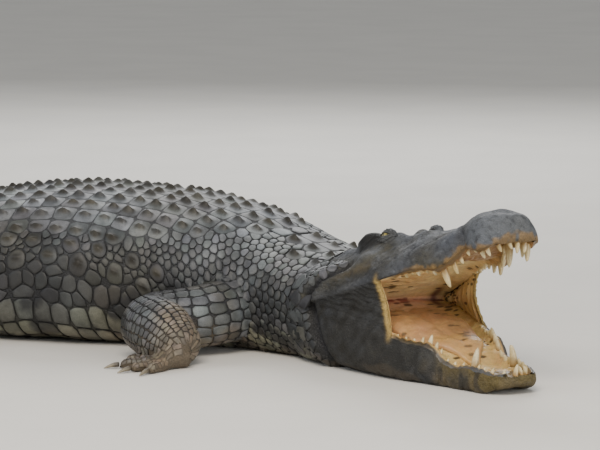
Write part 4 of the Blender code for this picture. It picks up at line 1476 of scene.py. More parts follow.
# seam is the share of a tile's colour left at its rim under the painted shade
for name, kind, low, high, keels, seam in (
    ("small_scales", 0, 0.0028, 0.0046, None, 0.14),
    ("back_scutes", 1, 0.0016, 0.0024, (0.012, 0.0175), 0.80),
    ("flank_scutes", 2, 0.0040, 0.0060, (0.005, 0.010), 0.14),
    ("belly_scales", 3, 0.0040, 0.0062, None, 0.10),
):
    chosen = trunk_kinds == kind
    height = random.uniform(low, high, chosen.sum())
    edges = (plain_edges if keels is None else keel_edges)[chosen]
    keel = None if keels is None else random.uniform(*keels, chosen.sum())
    place = (name, body_surface, trunk[chosen], edges, height)
    coat.append(build_tiles(*place, hide_colour, side_share, keel, seam=seam))

# %% [markdown]
# ## Tail
#
# The tail's scales stand in rings, one to a vertebra. Their number around the tail falls as it
# narrows, so each ring is divided by its own girth. The crest along the top is a row of upright
# blades on each side, which meet and go on as one.

# %% Rings of the tail
WHORL = 0.074
CREST_START = -0.16
CREST_MERGE = -1.15
CREST_END = -2.12
TAIL_SCALE = 0.044
BLADE_ANGLES = np.radians(np.arange(0, 360, 30))


def tail_sites():
    sites, radii = [], []
    random = np.random.default_rng(11)
    for s in np.arange(CREST_START - WHORL / 2, CREST_END, -WHORL):
        girth = float(girth_at(s))
        count = max(3, round(girth / TAIL_SCALE))
        width = girth / count
        for side in (-1, 1):
            for k in range(count):
                sites.append((s + random.uniform(-0.003, 0.003), side * width * (k + 0.5)))
                radii.append(0.02)
    return np.array(sites), np.array(radii)


tail, tail_radii = tail_sites()
tail_edges = outlines(tail, tail_radii, 0.0018, corners=16, sharp=12.0)
height = 0.0040 * step(-2.3, -1.4, tail[:, 0]) + 0.0006
upper_tail = side_share(tail) < 0.42
tail_keel = np.where(upper_tail, 0.0045, 0.0012) * step(-2.2, -1.0, tail[:, 0])
coat.append(
    build_tiles("tail_scales", body_surface, tail, tail_edges, height, hide_colour, side_share, tail_keel)
)

# %% Crest
def blade(s, side, height):
    """Rings up one blade of the crest: it is thick at its root, leans back and ends in an edge."""
    half, top = smooth(BODY, s)[0][:2]
    length = 0.054 if side else 0.060
    foot = top * 0.80
    rings = []
    for t in (0.0, 0.35, 0.6, 0.8, 0.93, 1.0):
        z = foot + (top + height - foot) * t
        long = length * (0.5 - 0.40 * t**1.6)
        back = -length * 0.42 * t**1.4
        rise = max(0.0, z - top * 0.9)
        thick = max(0.0085 * (1 - 0.80 * t), 0.0012)
        lean = 0.35 * side * rise
        y = side * 0.42 * half - lean + thick * np.sin(BLADE_ANGLES)
        rings.append(on_body(s + back + long * np.cos(BLADE_ANGLES), y, z))
    return np.array(rings)


def crest():
    points, faces, colours, places, start = [], [], [], [], 0
    for s in np.arange(CREST_START, CREST_END, -WHORL):
        merged = s < CREST_MERGE
        growth = (CREST_START - s) / (CREST_START - CREST_MERGE)
        fade = (s - CREST_END) / (CREST_MERGE - CREST_END)
        tall = 0.022 + 0.034 * fade if merged else 0.012 + 0.030 * growth
        for side in (0,) if merged else (-1, 1):
            rings = blade(s, side, tall - 0.001)
            count, around = rings.shape[:2]
            k = start + np.arange(around)
            faces += [*(walls(count, around) + start).tolist(), k[::-1].tolist()]
            faces.append((k + (count - 1) * around).tolist())
            points.append(rings.reshape(-1, 3))
            up = np.repeat(np.linspace(0, 1, count), around)
            base = hide_colour(points[-1], 0 * up, 0 * up + s)
            # painted shade: each blade darkens towards its root on the body
            colours.append(base * (0.35 + 0.5 * up)[:, None])
            circle = PATCH * np.stack([np.cos(BLADE_ANGLES), np.sin(BLADE_ANGLES)], -1)
            patch = np.concatenate([circle * (1 - 0.15 * r) for r in range(count)])
            places.append(patch + chart_of(np.array([[s, 0.04 * side]])))
            start += count * around
    mesh = bpy.data.meshes.new("tail_crest")
    mesh.from_pydata(np.concatenate(points).tolist(), [], faces)
    paint(mesh, np.concatenate(colours))
    write_map(mesh, np.concatenate(places))
    mesh.materials.append(KERATIN)
    obj = facing_out(link("tail_crest", mesh))
    apply_modifier(obj, "SUBSURF", levels=1, render_levels=1)
    shade_smooth(obj)
    return obj


coat.append(crest())
print("crest faces:", len(coat[-1].data.polygons))

# %% [markdown]
# ## Limbs
#
# Each length of limb is a tube with its own small map: along the limb and around it. The upper arm
# has large square tiles, the forearm short wide ones in bands, and the toes three rows of small
# scutes over each. Tiles that would lie inside another part of the body are left out.

# %% Tiles of the limbs
def cell(number):
    """A chart that lays one small map in its own cell of the bake square."""
    corner = np.array([number % 7, number // 7]) / 7 + 0.012
    return lambda sites: corner + (sites - sites.min(axis=0)) / 4.2


def limb_tiles(name, side, joints, size, seed, number, height):
    walked = tube_length(side, joints)
    radius = joints[1][3]
    girth = 2 * np.pi * radius
    index = np.arange(len(walked))

    def surface(t, v, lift):
        return limb_surface(side, joints, np.interp(t, walked, index), v / radius, lift)

    columns = round(girth / size[1])
    stagger = 0.08 if size[0] > 0.03 else 0.5
    sites = lattice((0.0, 0.0), (walked[-1] - 0.004, girth), (size[0], girth / columns), stagger, 0.09, seed)
    edges = outlines(sites, np.full(len(sites), 0.01), 0.0015, 12, 12.0, girth)
    tall = np.full(len(sites), height)
    place = (name, surface, sites, edges, tall)
    return build_tiles(*place, limb_colour, no_side, None, cell(number), hidden=0.010, reach=0.020)


def no_side(sites):
    """A limb has no back or belly, so its colour doesn't ask for the side."""
    return np.zeros(len(sites))


def limb_colour(points, side, station):
    """The colour of a limb's tiles; it takes what hide_colour takes, and needs only the points."""
    x, y, z = np.moveaxis(points, -1, 0)
    colour = mix(GREY, PALE, np.clip(0.35 + 0.40 * ripple(points, 0.10, 71), 0, 1))
    colour = mix(colour, OLIVE, 0.40 * step(-0.2, 0.9, ripple(points, 0.07, 72))) * 0.68
    return coated(
        colour,
        (BLACK, 0.65 * step(0.5, 1.0, ripple(points, 0.055, 73))),
        (DUST, 0.65 * step(0.08, 0.01, z + 0.02 * ripple(points, 0.04, 74))),
        (DUST, 0.65 * step(0.46, 0.52, x) * step(-0.42, -0.47, y)),
    )


legs = []
for number, (limb, (side, upper, lower, *_)) in enumerate(LIMBS.items()):
    size = (0.0125 if limb.startswith("front") else 0.022, 0.026)
    legs.append(limb_tiles(f"{limb}_a", side, upper, (0.034, 0.030), 40 + number, 2 * number, 0.0036))
    legs.append(limb_tiles(f"{limb}_b", side, lower, size, 50 + number, 2 * number + 1, 0.0032))
print("limb lengths tiled:", len(legs))

# %% Tiles of the feet
def low_surface(start, along, sizes):
    """A surface function for a low pad or toe: t along it in metres, v around it from its left edge."""
    length = np.linalg.norm(along)
    way = along / length
    side = np.array([way[1], -way[0], 0.0])
    width = smooth(sizes, 0.5)[0][0]

    def surface(t, v, lift):
        rows = smooth(sizes, t / length)
        half, height = rows[:, 0] - 0.001 + lift, rows[:, 1] - 0.001 + lift
        a = np.clip(v / width, 0.02, 3.1)
        y = half * power(np.cos(a), 2.3)
        z = rows[:, 1] * 0.45 + (height - rows[:, 1] * 0.45) * power(np.sin(a), 2.2)
        return start + t[:, None] * way + y[:, None] * side + z[:, None] * [0, 0, 1]

    return surface, length, width


def foot_tiles(name, form, size, columns, number):
    """Tiles of a pad or toe of that form (start, length as a vector, sizes), in so many columns."""
    surface, length, width = low_surface(*form)
    low, high = (0.10 * length, 0.15 * width), (0.97 * length, (math.pi - 0.15) * width)
    across_size = (high[1] - low[1]) / columns
    sites = lattice(low, high, (size, across_size), 0.0, 0.05, 60 + number)
    edges = outlines(sites, np.full(len(sites), 0.01), 0.0012, 12, 9.0)
    edges = np.clip(edges, -0.6 * across_size, 0.6 * across_size)
    place = (name, surface, sites, edges, np.full(len(sites), 0.0018))
    return build_tiles(*place, limb_colour, no_side, None, cell(number), hidden=0.007, reach=0.008)


number = 8
for limb, (side, upper, lower, turn, palm, toes) in LIMBS.items():
    legs.append(foot_tiles(f"{limb}_p", foot_pad(side, lower[-1], turn, palm), 0.018, 8, number))
    number += 1
    for knuckle, way, length, _ in toe_places(side, lower, turn, palm, toes):
        legs.append(foot_tiles(f"{limb}_t{number}", (knuckle, way * length, TOE), 0.0125, 3, number))
        number += 1
coat.append(join([piece for piece in legs if piece], "limb_scales"))
print("limb tiles, faces:", len(coat[-1].data.polygons))

# %% [markdown]
# ## Collar
#
# Scaly neck skin runs forwards over the back of the jaw as far as the collar's fold. Its tiles take
# their places from rays sent in towards the middle of the head.

# %% Tiles of the collar
COLLAR_RADIUS = 0.20


def collar_surface(x, v, lift=0.0):
    """Places round the back of the head: x ahead of the jaw joint, v around from its top."""
    angle = v / COLLAR_RADIUS
    way = np.stack([np.zeros(len(x)), np.sin(angle), np.cos(angle)], axis=-1)
    way = placed(way, HEAD) - placed([0, 0, 0], HEAD)
    middle = placed(np.stack([x, np.zeros(len(x)), np.full(len(x), 0.11)], axis=-1), HEAD)
    hits = [skin_tree.ray_cast(Vector(m + 0.45 * w), Vector(-w), 0.45) for m, w in zip(middle, way)]
    places = np.array([hit[0] if hit[0] is not None else m for hit, m in zip(hits, middle)])
    return places + way * lift


def collar_sites():
    """Sites behind the collar's fold, and the edges of their tiles."""
    sites = lattice((-0.014, -0.68), (0.135, 0.68), (0.026, 0.0225), 0.5, 0.20, 77)
    places = collar_surface(sites[:, 0], sites[:, 1])
    gap, side = ahead_of_collar(places)
    x, _, z = local(places, HEAD).T
    on_side = (side > 0.3) & (gap < -0.008) & (z > 0.004)
    on_top = (side <= 0.3) & (x < 0.02) & (z > 0.05)
    edges = outlines(sites, np.full(len(sites), 0.01), GROOVE, sharp=11.0)
    return sites[on_side | on_top], edges[on_side | on_top]


def collar_side(sites):
    return np.abs(sites[:, 1]) / 0.85


def collar_colour(points, side, station):
    """The hide's colour, darker towards the head."""
    return hide_colour(points, side, station) * 0.62


def collar_chart(sites):
    return np.stack([0.965 + sites[:, 0] * 0.2, sites[:, 1] / HIDE_WIDTH + 0.5], axis=-1)


def collar_tiles():
    sites, edges = collar_sites()
    tall = np.random.default_rng(78).uniform(0.0028, 0.0044, len(sites))
    place = ("collar_scales", collar_surface, sites, edges, tall)
    return build_tiles(*place, collar_colour, collar_side, chart=collar_chart)


coat.append(collar_tiles())

# %% [markdown]
# ## Inside the mouth
#
# The lining is one funnel: the palate and the floor run back until they meet in the fold that shuts
# the throat, and the cheeks close its sides. It is soft and wet, ochre with small dark flecks, and
# pink where the fold is thick with blood vessels. It is built as grids, because then each ridge of
# the gum can be placed beside its teeth.

# %% Places of the teeth
# place along the jaw, share of the gum's half width, length on the right and on the left
UPPER_TEETH = [
    (0.676, 0.25, 0.014, 0.026),
    (0.668, 0.72, 0.017, 0.024),
    (0.650, 1.0, 0.020, 0.042),
    (0.627, 1.0, 0.024, 0.030),
    (0.590, 1.0, 0.014, 0.058),
    (0.560, 1.0, 0.014, 0.016),
    (0.541, 1.0, 0.018, 0.018),
    (0.521, 1.0, 0.032, 0.024),
    (0.490, 1.0, 0.050, 0.032),
    (0.458, 1.0, 0.018, 0.026),
    (0.432, 1.0, 0.012, 0.016),
    (0.404, 1.0, 0.018, 0.016),
    (0.386, 1.0, 0.010, 0.014),
    (0.368, 1.0, 0.014, 0.018),
    (0.350, 1.0, 0.009, 0.012),
    (0.333, 1.0, 0.008, 0.010),
]
LOWER_TEETH = [
    (0.664, 0.35, 0.026, 0.020),
    (0.650, 0.85, 0.013, 0.018),
    (0.628, 1.0, 0.014, 0.016),
    (0.606, 1.0, 0.012, 0.016),
    (0.587, 1.0, 0.013, 0.018),
    (0.566, 1.0, 0.050, 0.052),
    (0.534, 1.0, 0.012, 0.016),
    (0.508, 1.0, 0.011, 0.016),
    (0.485, 1.0, 0.010, 0.018),
    (0.464, 1.0, 0.014, 0.024),
    (0.449, 1.0, 0.018, 0.026),
    (0.430, 1.0, 0.026, 0.030),
    (0.408, 1.0, 0.018, 0.020),
    (0.384, 1.0, 0.011, 0.014),
    (0.360, 1.0, 0.010, 0.012),
    (0.336, 1.0, 0.008, 0.010),
]


def tooth_rows(table, places):
    """(x, y, length, radius) of every tooth on both sides."""
    rows = []
    for x, share, *lengths in places:
        for side, length in zip((-1, 1), lengths):
            radius = 0.0042 + 0.12 * length
            gum = float(min(gum_width(x - radius, table)[0], gum_width(x + radius, table)[0]))
            rows.append((x, side * share * (gum - radius - 0.001), length, radius))
    return np.array(rows)


upper_rows = tooth_rows(UPPER, UPPER_TEETH)
lower_rows = tooth_rows(LOWER, LOWER_TEETH)
print("teeth:", len(upper_rows), "above,", len(lower_rows), "below")

# %% Palate and floor
THROAT_X = 0.126


def gape_middle(x):
    low = smooth(LOWER, x)[:, 1]
    return (JOINT_HEIGHT + x * math.tan(PITCH) + low) / 2 - 0.010 * step(0.3, 0.1, x)


def throat_share(x):
    """0 at the fold that shuts the throat, 1 where palate and floor are clear of it."""
    return np.clip((x - THROAT_X) / (0.285 - THROAT_X), 0, 1) ** 0.55


def collars(x, y, teeth):
    """Swelling of the gum round each tooth, and the dip between neighbours."""
    total = np.zeros(x.shape)
    for tx, ty, length, radius in teeth:
        away = np.hypot(x - tx, y - ty) / (radius * 1.7)
        total = np.maximum(total, (0.0022 + 0.05 * length) * np.exp(-(away**4)))
    return total


def jaw_lining(table, teeth, sign, depth, count=330, across_count=110):
    """Grid of the palate (sign 1) or the floor (sign -1), in its jaw's frame, from throat to tip."""
    tip = 0.684 if sign > 0 else 0.666
    x = np.linspace(0.10, tip, count)[:, None]
    q = np.linspace(-1, 1, across_count)[None, :]
    half, lip = smooth(table, x[:, 0]).T[:2, :, None]
    wide = MOUTH_SHARE * half - 0.0035
    y = q * wide
    inside = 1 - np.abs(q) * wide / gum_width(x[:, 0], table)[:, None]
    vault = step(0.0, 0.34, inside) * depth
    ridge = 0.0035 * bump(inside, 0.04, 0.10)
    x, y = np.broadcast_arrays(x, y)
    place = np.stack([x, y], axis=-1)
    rugae = 0.0012 * np.sin(2 * np.pi * (x - 0.25 * np.abs(y)) / 0.022) * (sign > 0)
    rugae = rugae * step(0.3, 0.7, inside)
    soft = 0.0014 * ripple(place, 0.024, 81 + sign) + 0.0006 * ripple(place, 0.008, 83 + sign)
    seam = -0.0015 * bump(y, 0, 0.004)
    z = lip + sign * (vault - ridge + rugae + soft - seam - collars(x, y, teeth))
    tuck = 0.004 * step(0.985, 1.0, np.abs(q))
    return np.stack([x, y, z + sign * tuck], axis=-1)


def closing(points):
    """Points in the head's frame, drawn together towards the throat's fold."""
    x, y, z = np.moveaxis(points, -1, 0)
    shape = x.shape
    middle = gape_middle(x.ravel()).reshape(shape)
    share = throat_share(x)
    x = np.maximum(x, THROAT_X + 0.010 * (y / 0.15) ** 2)
    sag = 0.010 * np.cos(y / 0.16 * np.pi / 2)
    z = middle + sag * (1 - share) + (z - middle) * share
    within = cheek_depth(x.ravel(), z.ravel(), 0.008).reshape(shape)
    return np.stack([x, np.clip(y, -within, within), z], -1)


def cheek_depth(x, z, inside):
    """How far out the mouth reaches at a place: to that depth inside the cheek's outer face."""
    low, high, below, above = cheek_wall(x)
    t = np.clip((z - low) / (high - low), 0, 1)
    sag = 0.018 * np.sin(np.pi * t) * np.minimum(1, (high - low) / WIDE_GAPE)
    return np.where(x < 0.335, below + (above - below) * t - sag - inside, 1.0)


palate_grid = closing(local(placed(jaw_lining(UPPER, upper_rows, 1, 0.015), SKULL), HEAD))
floor_grid = closing(jaw_lining(LOWER, lower_rows, -1, 0.014))
print("palate and floor points:", palate_grid[..., 0].size + floor_grid[..., 0].size)

# %% Cheek lining
def cheek_lining(side, count=90, up=80):
    """The inner wall of one cheek, from the floor's edge to the palate's, in upright folds."""
    share = np.linspace(0, 1, count)[:, None]
    t = np.linspace(0, 1, up)[None, :]
    edge = cheek_edge(t) + 0.0005
    x = THROAT_X + 0.004 + (edge - THROAT_X - 0.004) * share
    flat = x.ravel()
    low, high, below, above = (v.reshape(x.shape) for v in cheek_wall(flat, 0.008, 0.010, 0.0))
    gape = np.minimum(1, (high - low) / WIDE_GAPE)
    outer = below + (above - below) * t - 0.016 * np.sin(np.pi * t) * gape
    pleats = 0.0026 * np.sin(2 * np.pi * (x + 0.02 * t) / 0.027) * np.sin(np.pi * t)
    y = outer - 0.0185 - pleats * step(0.0, 0.2, share) * step(1.0, 0.93, share)
    y = y + 0.0155 * step(0.90, 1.0, share) ** 2
    y = y - 0.010 * step(0.35, 0.0, share)
    z = low + (high - low) * t
    middle = gape_middle(flat).reshape(x.shape)
    z = middle + (z - middle) * np.maximum(throat_share(x), 0.05)
    y = np.minimum(y, cheek_depth(flat, z.ravel(), 0.009).reshape(x.shape))
    return np.stack([x, side * y, z], axis=-1)


def mouth_lining():
    """The palate, the floor and both cheeks as one piece that faces into the mouth."""
    made = []
    for name, grid, flip in (
        ("palate", palate_grid, False),
        ("floor", floor_grid, True),
        ("cheek_lining_right", cheek_lining(-1), False),
        ("cheek_lining_left", cheek_lining(1), True),
    ):
        made.append(loft(name, placed(grid, HEAD), closed=False))
        if flip:
            made[-1].data.flip_normals()
    return join(made, "mouth_lining")


lining = mouth_lining()
print("lining faces:", len(lining.data.polygons))

# %% [markdown]
# The skin was rounded by its smoothing, so here and there it stands in front of the lining. Those
# places are laid just behind it, and the skin in the throat is drawn back a little.

# %% Skin behind the lining
def tuck_skin_behind(cover, depth=0.002, reach=0.014):
    """Lays the skin just under the lining wherever it would show in front of it."""
    tree = tree_of(cover.data)
    at = local(coordinates(skin.data), HEAD)
    off_middle = np.abs(at[:, 2] - gape_middle(at[:, 0]))
    fold = step(0.20, 0.16, at[:, 0]) * step(0.09, 0.10, at[:, 0]) * step(0.050, 0.035, off_middle)
    at[:, 0] -= 0.011 * fold * step(0.170, 0.160, np.abs(at[:, 1]))
    points = placed(at, HEAD)
    x, y, z = at.T
    skull_x, skull_y, _ = parts(points, SKULL)
    deep = np.abs(y) < cheek_depth(x, z, 0.008)
    behind_cheek = deep & (x < cheek_edge(np.clip((z - 0.11) / 0.13, 0, 1)) - 0.010)
    over = np.abs(skull_y) < gum_width(skull_x, UPPER) - 0.003
    under = np.abs(y) < gum_width(x, LOWER) - 0.003
    at_gums = deep & np.where(z > gape_middle(x), over, under) & (x < 0.64)
    moved = 0
    for index in np.nonzero((behind_cheek | at_gums) & (x > 0.15) & (z > 0.03))[0]:
        place, way, *_ = tree.find_nearest(Vector(points[index]), reach)
        if place is not None and (Vector(points[index]) - place) @ way > -depth:
            points[index] = place - way * depth
            moved += 1
    set_coordinates(skin.data, points)
    print("skin points laid under the lining:", moved)


tuck_skin_behind(lining)

# %% Colour of the lining
OCHRE = linear("#cbaa74")
YELLOW = linear("#d8c28c")
PINK = linear("#c9a089")
LIP_DARK = linear("#25231e")
LIP_GREY = linear("#44474a")
RED = linear("#8a4034")
FLECK = linear("#3b3122")
PALATE_BROWN = linear("#6b451a")
GUM_STAIN = linear("#7a5836")
RIM_STAIN = linear("#56452b")


def lining_colour(points):
    at = local(points, HEAD)
    x, y, z = at.T
    skull_x, skull_y, _ = parts(points, SKULL)
    middle = gape_middle(x)
    above = step(-0.02, 0.02, z - middle)
    below = 1 - above
    folded = step(0.30, 0.14, x) * step(0.12, 0.06, np.abs(y))
    pink = folded * (1 - 0.85 * above) + 0.30 * step(0.45, 0.2, x) * below
    colour = coated(
        OCHRE,
        (YELLOW, 0.5 + 0.4 * ripple(at, 0.05, 91)),
        (PINK, np.clip(pink + 0.15 * ripple(at, 0.03, 92), 0, 1) * 0.85),
        (FLECK, 0.9 * flecks(at)),
        (LIP_GREY, 0.75 * step(0.53, 0.585, x + 0.02 * ripple(at, 0.03, 89)) * below),
    )
    colour = colour * (1 - below[:, None] * [0.24, 0.30, 0.44])
    line = bump(x, THROAT_X, 0.012) * bump(z - middle, 0, 0.02)
    gum = np.maximum(gum_share(points, SKULL, UPPER), gum_share(points, HEAD, LOWER))
    beyond = np.abs(skull_y) - gum_width(skull_x, UPPER) + 0.002 * ripple(at, 0.010, 87)
    upper_rim = step(-0.004, 0.002, beyond) * above * step(0.30, 0.34, x)
    beyond = np.abs(y) - gum_width(x, LOWER) + 0.0015 * ripple(at, 0.012, 99)
    lower_rim = step(-0.003, 0.002, beyond) * below * step(0.32, 0.35, x)
    return coated(
        colour,
        (PALATE_BROWN, 0.85 * above * step(0.36, 0.48, x + 0.02 * ripple(at, 0.03, 88))),
        (RED, 0.7 * line),
        (RED * 0.35, 0.9 * bump(y, 0.118, 0.012) * step(0.19, 0.15, x)),
        (GUM_STAIN, 0.55 * gum * step(-0.3, 0.9, ripple(at, 0.016, 95))),
        (RIM_STAIN, 0.85 * upper_rim),
        (mix(LIP_DARK, LIP_GREY, step(0.42, 0.52, x)), 0.92 * lower_rim),
    )


def flecks(at, count=190, seed=96):
    """Small dark marks strewn over the folds: 1 in the middle of each."""
    chance = step(-0.5, 0.9, ripple(at, 0.055, 94)) * step(0.55, 0.45, at[:, 0])
    random = np.random.default_rng(seed)
    chosen = at[random.choice(len(at), count, replace=False, p=chance / chance.sum())]
    total = np.zeros(len(at))
    for place, size in zip(chosen, random.uniform(0.0014, 0.0032, count)):
        near = np.abs(at[:, 0] - place[0]) < 0.02
        away = (at[near] - place) / [2.0 * size, 4.5 * size, 1.3 * size]
        total[near] = np.maximum(total[near], step(1.3, 0.8, np.linalg.norm(away, axis=1)))
    return total


def gum_share(points, frame_matrix, table):
    """1 on the ridge of the gum along a jaw."""
    x, y, z = parts(points, frame_matrix)
    lip = smooth(table, x)[:, 1]
    return bump(np.abs(y), gum_width(x, table), 0.010) * bump(z, lip, 0.02) * step(0.28, 0.33, x)


paint(lining.data, lining_colour(coordinates(lining.data)))
# wet mucous membrane: soft, glossy where its film of water lies, with light scattering inside
MUCOSA = painted("wet_mucosa", 0.40, 0.45, (3.0, 0.10, 0.5), (14, 0.12, 0.9))
shader = MUCOSA.node_tree.nodes["Principled BSDF"]
shader.inputs["Subsurface Weight"].default_value = 0.12
shader.inputs["Subsurface Radius"].default_value = (0.010, 0.004, 0.002)
shader.inputs["Subsurface Scale"].default_value = 0.6
lining.data.materials.append(MUCOSA)
shade_smooth(lining)
print("material:", MUCOSA.name)

# %% [markdown]
# ## Tongue
#
# A crocodile's tongue can't be put out: it is a broad flat pad tied to the floor all along, with a
# shallow furrow down its middle and fine cross wrinkles.

# %% Tongue
# distance from the jaw joint, share of the gum's half width, height over its root
TONGUE = [(0.150, 0.66, 0.016), (0.22, 0.74, 0.022), (0.32, 0.74, 0.018), (0.42, 0.62, 0.013)]
TONGUE += [(0.495, 0.30, 0.004)]


def tongue_grid(count=150, around=90):
    x = np.linspace(TONGUE[0][0], 0.497, count)
    wide, high = smooth(TONGUE, x).T[:, :, None]
    lip = smooth(LOWER, x)[:, 1:2]
    a = np.linspace(0, 2 * np.pi, around, endpoint=False)[None, :]
    taper = np.sqrt(np.clip((0.5 - x) / 0.06, 0, 1))[:, None]
    y = gum_width(x, LOWER)[:, None] * wide * taper * np.cos(a)
    up = np.maximum(np.sin(a), 0) ** 0.55
    furrow = 0.22 * bump(y, 0, 0.010)
    x = np.repeat(x[:, None], around, axis=1)
    place = np.stack([x, y], axis=-1)
    wrinkles = 0.0007 * np.sin(2 * np.pi * (x + 0.01 * ripple(place, 0.03, 97)) / 0.0085)
    wrinkles = wrinkles + 0.001 * ripple(place, 0.02, 98)
    top = lip - 0.010 + (high + 0.004) * up * (1 - furrow) + wrinkles * up
    z = np.where(np.sin(a) > 0, top, lip - 0.012 + 0.004 * np.sin(a))
    return np.stack([x, y, z], axis=-1)


def tongue_colour(points):
    at = local(points, HEAD)
    pink = 0.65 + 0.2 * ripple(at, 0.04, 99) - 0.5 * step(0.3, 0.5, at[:, 0])
    colour = mix(OCHRE, PINK, np.clip(pink, 0, 1)) * [0.74, 0.66, 0.50]
    return mix(colour, FLECK, 0.7 * flecks(at, 60))


tongue = facing_out(loft("tongue_pad", placed(tongue_grid(), HEAD)))
paint(tongue.data, tongue_colour(coordinates(tongue.data)))
tongue.data.materials.append(MUCOSA)
shade_smooth(tongue)
print("tongue points:", len(tongue.data.vertices))

# %% [markdown]
# ## Teeth
#
# Crocodile teeth are round pegs that taper to a point and curve a little inwards, with a sharp keel
# before and behind. One tooth is made as a cone, divided, bent and keeled; the others are copies of
# its mesh, each scaled to its own length. Worn enamel is ivory, stained brown at the gum.

# %% One tooth
def one_tooth():
    """A tooth 1 long and 1 in radius at its base, curving towards +Y."""
    deselect()
    bpy.ops.mesh.primitive_cone_add(vertices=14, radius1=1.0, radius2=0.0, depth=1.0, location=(0, 0, 0.5))
    obj = bpy.context.view_layer.objects.active
    bpy.ops.object.transform_apply(location=True)
    bpy.ops.object.mode_set(mode="EDIT")
    bpy.ops.mesh.select_all(action="DESELECT")
    bm = bmesh.from_edit_mesh(obj.data)
    for edge in bm.edges:
        edge.select_set(abs(edge.verts[0].co.z - edge.verts[1].co.z) > 0.5)
    bmesh.update_edit_mesh(obj.data)
    bpy.ops.mesh.subdivide(number_cuts=7)
    bpy.ops.object.mode_set(mode="OBJECT")
    points = coordinates(obj.data)
    z = np.clip(points[:, 2], 0, 1)
    around = np.hypot(points[:, 0], points[:, 1])
    full = np.sqrt(np.clip(1 - z**1.7, 0, 1)) * (1 - 0.12 * z)
    factor = np.where(around > 1e-6, full / np.maximum(1 - z, 1e-3), 1)
    keel = 1 + 0.10 * np.abs(points[:, 0] / np.maximum(around, 1e-6)) ** 12
    points[:, 0] *= factor * keel
    points[:, 1] = points[:, 1] * factor + 0.55 * z**2
    set_coordinates(obj.data, points)
    return obj


def tooth_places():
    """The matrix that carries the one tooth to each place."""
    for rows, table, frame_matrix, sign in ((upper_rows, UPPER, SKULL, -1), (lower_rows, LOWER, HEAD, 1)):
        for x, y, length, radius in rows:
            lip = float(smooth(table, x)[0, 1])
            inward = -1.0 if y > 0 else 1.0
            base = Matrix.Translation((x, y, lip - sign * 0.006))
            flare = Matrix.Rotation(-inward * sign * 0.10, 4, "X")
            size = Matrix.Diagonal((radius, radius * inward, sign * (length + 0.006), 1))
            yield frame_matrix @ base @ flare @ size


DENTINE = linear("#ad9866")
IVORY = linear("#cfc096")
TARTAR = linear("#8a6631")


def all_teeth():
    one = one_tooth()
    shape = coordinates(one.data)
    faces = [list(p.vertices) for p in one.data.polygons]
    points, polygons, tints = [], [], []
    random = np.random.default_rng(21)
    for n, place in enumerate(tooth_places()):
        worn = random.uniform(0.0, 0.08)
        mine = shape.copy()
        mine[:, 2] = np.minimum(mine[:, 2], 1 - worn)
        points.append(placed(mine, place))
        polygons += [[v + n * len(shape) for v in face] for face in faces]
        root = step(0.55, 0.10, shape[:, 2] + random.uniform(-0.1, 0.1))
        tint = mix(DENTINE, IVORY, random.uniform(0, 1))
        tints.append(mix(tint, TARTAR, root * random.uniform(0.55, 0.95)))
    mesh = bpy.data.meshes.new("teeth")
    mesh.from_pydata(np.concatenate(points).tolist(), [], polygons)
    paint(mesh, np.concatenate(tints))
    bpy.data.objects.remove(one)
    return facing_out(link("teeth", mesh))


teeth = all_teeth()
# enamel over dentine: hard, smooth and glossy, stained towards the gum
ENAMEL = painted("stained_enamel", 0.28, 0.5, (1.5, 0.08, 0.15), (6, 0.12, 0.2))
teeth.data.materials.append(ENAMEL)
shade_smooth(teeth)
print("tooth faces:", len(teeth.data.polygons))

# %% [markdown]
# ## Eyes
#
# The eyeball is a sphere whose colours follow the angle from the axis it looks along: an upright
# slit of a pupil, an olive and yellow iris with fine spokes, and a dark rim. The lids are a second
# sheet around it. Their rings start just inside the ball's surface at the edge of an almond opening,
# roll outwards into a soft margin and run back in folds until they sink into the brow.

# %% Eyeballs
LOOK = np.array([0.05, -0.86, 0.50])
OPENING = (50.0, 10.0, 10.0)  # half angles in degrees: fore and aft, above, below


def eye_axes():
    look = LOOK / np.linalg.norm(LOOK)
    ahead = np.array([1.0, 0, 0]) - look[0] * look
    ahead /= np.linalg.norm(ahead)
    return look, ahead, np.cross(look, ahead)


def around_eye(rho, psi, radius, longer=0.0):
    """Places round the right eye: rho from the axis it looks along, psi around that axis."""
    look, ahead, up = eye_axes()
    fore = np.sin(rho) * np.cos(psi) * (1 + longer)
    rise = np.sin(rho) * np.sin(psi)
    way = np.cos(rho)[..., None] * look + fore[..., None] * ahead + rise[..., None] * up
    return np.array([EYE[0], -EYE[1], EYE[2]]) + radius[..., None] * way


def eyeball(name, side):
    back, turn = np.radians(np.linspace(0.4, 110, 90)), np.linspace(0, 2 * np.pi, 96, endpoint=False)
    rho, psi = np.meshgrid(back, turn, indexing="ij")
    radius = EYE_RADIUS + 0.0008 * bump(rho, 0, 0.5)
    points = around_eye(rho, psi, radius) * [1, -side, 1]
    obj = facing_out(loft(name, placed(points, SKULL)))
    rho, psi = rho.ravel(), psi.ravel()
    spokes = ripple(np.stack([np.cos(psi), np.sin(psi), rho], -1), 0.16, 111)
    slit = np.hypot(rho * np.cos(psi) / 0.085, rho * np.sin(psi) / 0.44)
    colour = coated(
        linear("#6f6a30"),
        (linear("#a39048"), np.clip(0.5 + 0.4 * spokes, 0, 1)),
        (linear("#4d4a22"), step(0.35, 0.62, rho)),
        (linear("#15130d"), step(0.58, 0.74, rho)),
        (linear("#050505"), step(1.15, 0.85, slit)),
    )
    paint(obj.data, colour)
    return obj


print("the eye looks along", (LOOK / np.linalg.norm(LOOK)).round(2), "on the skull")

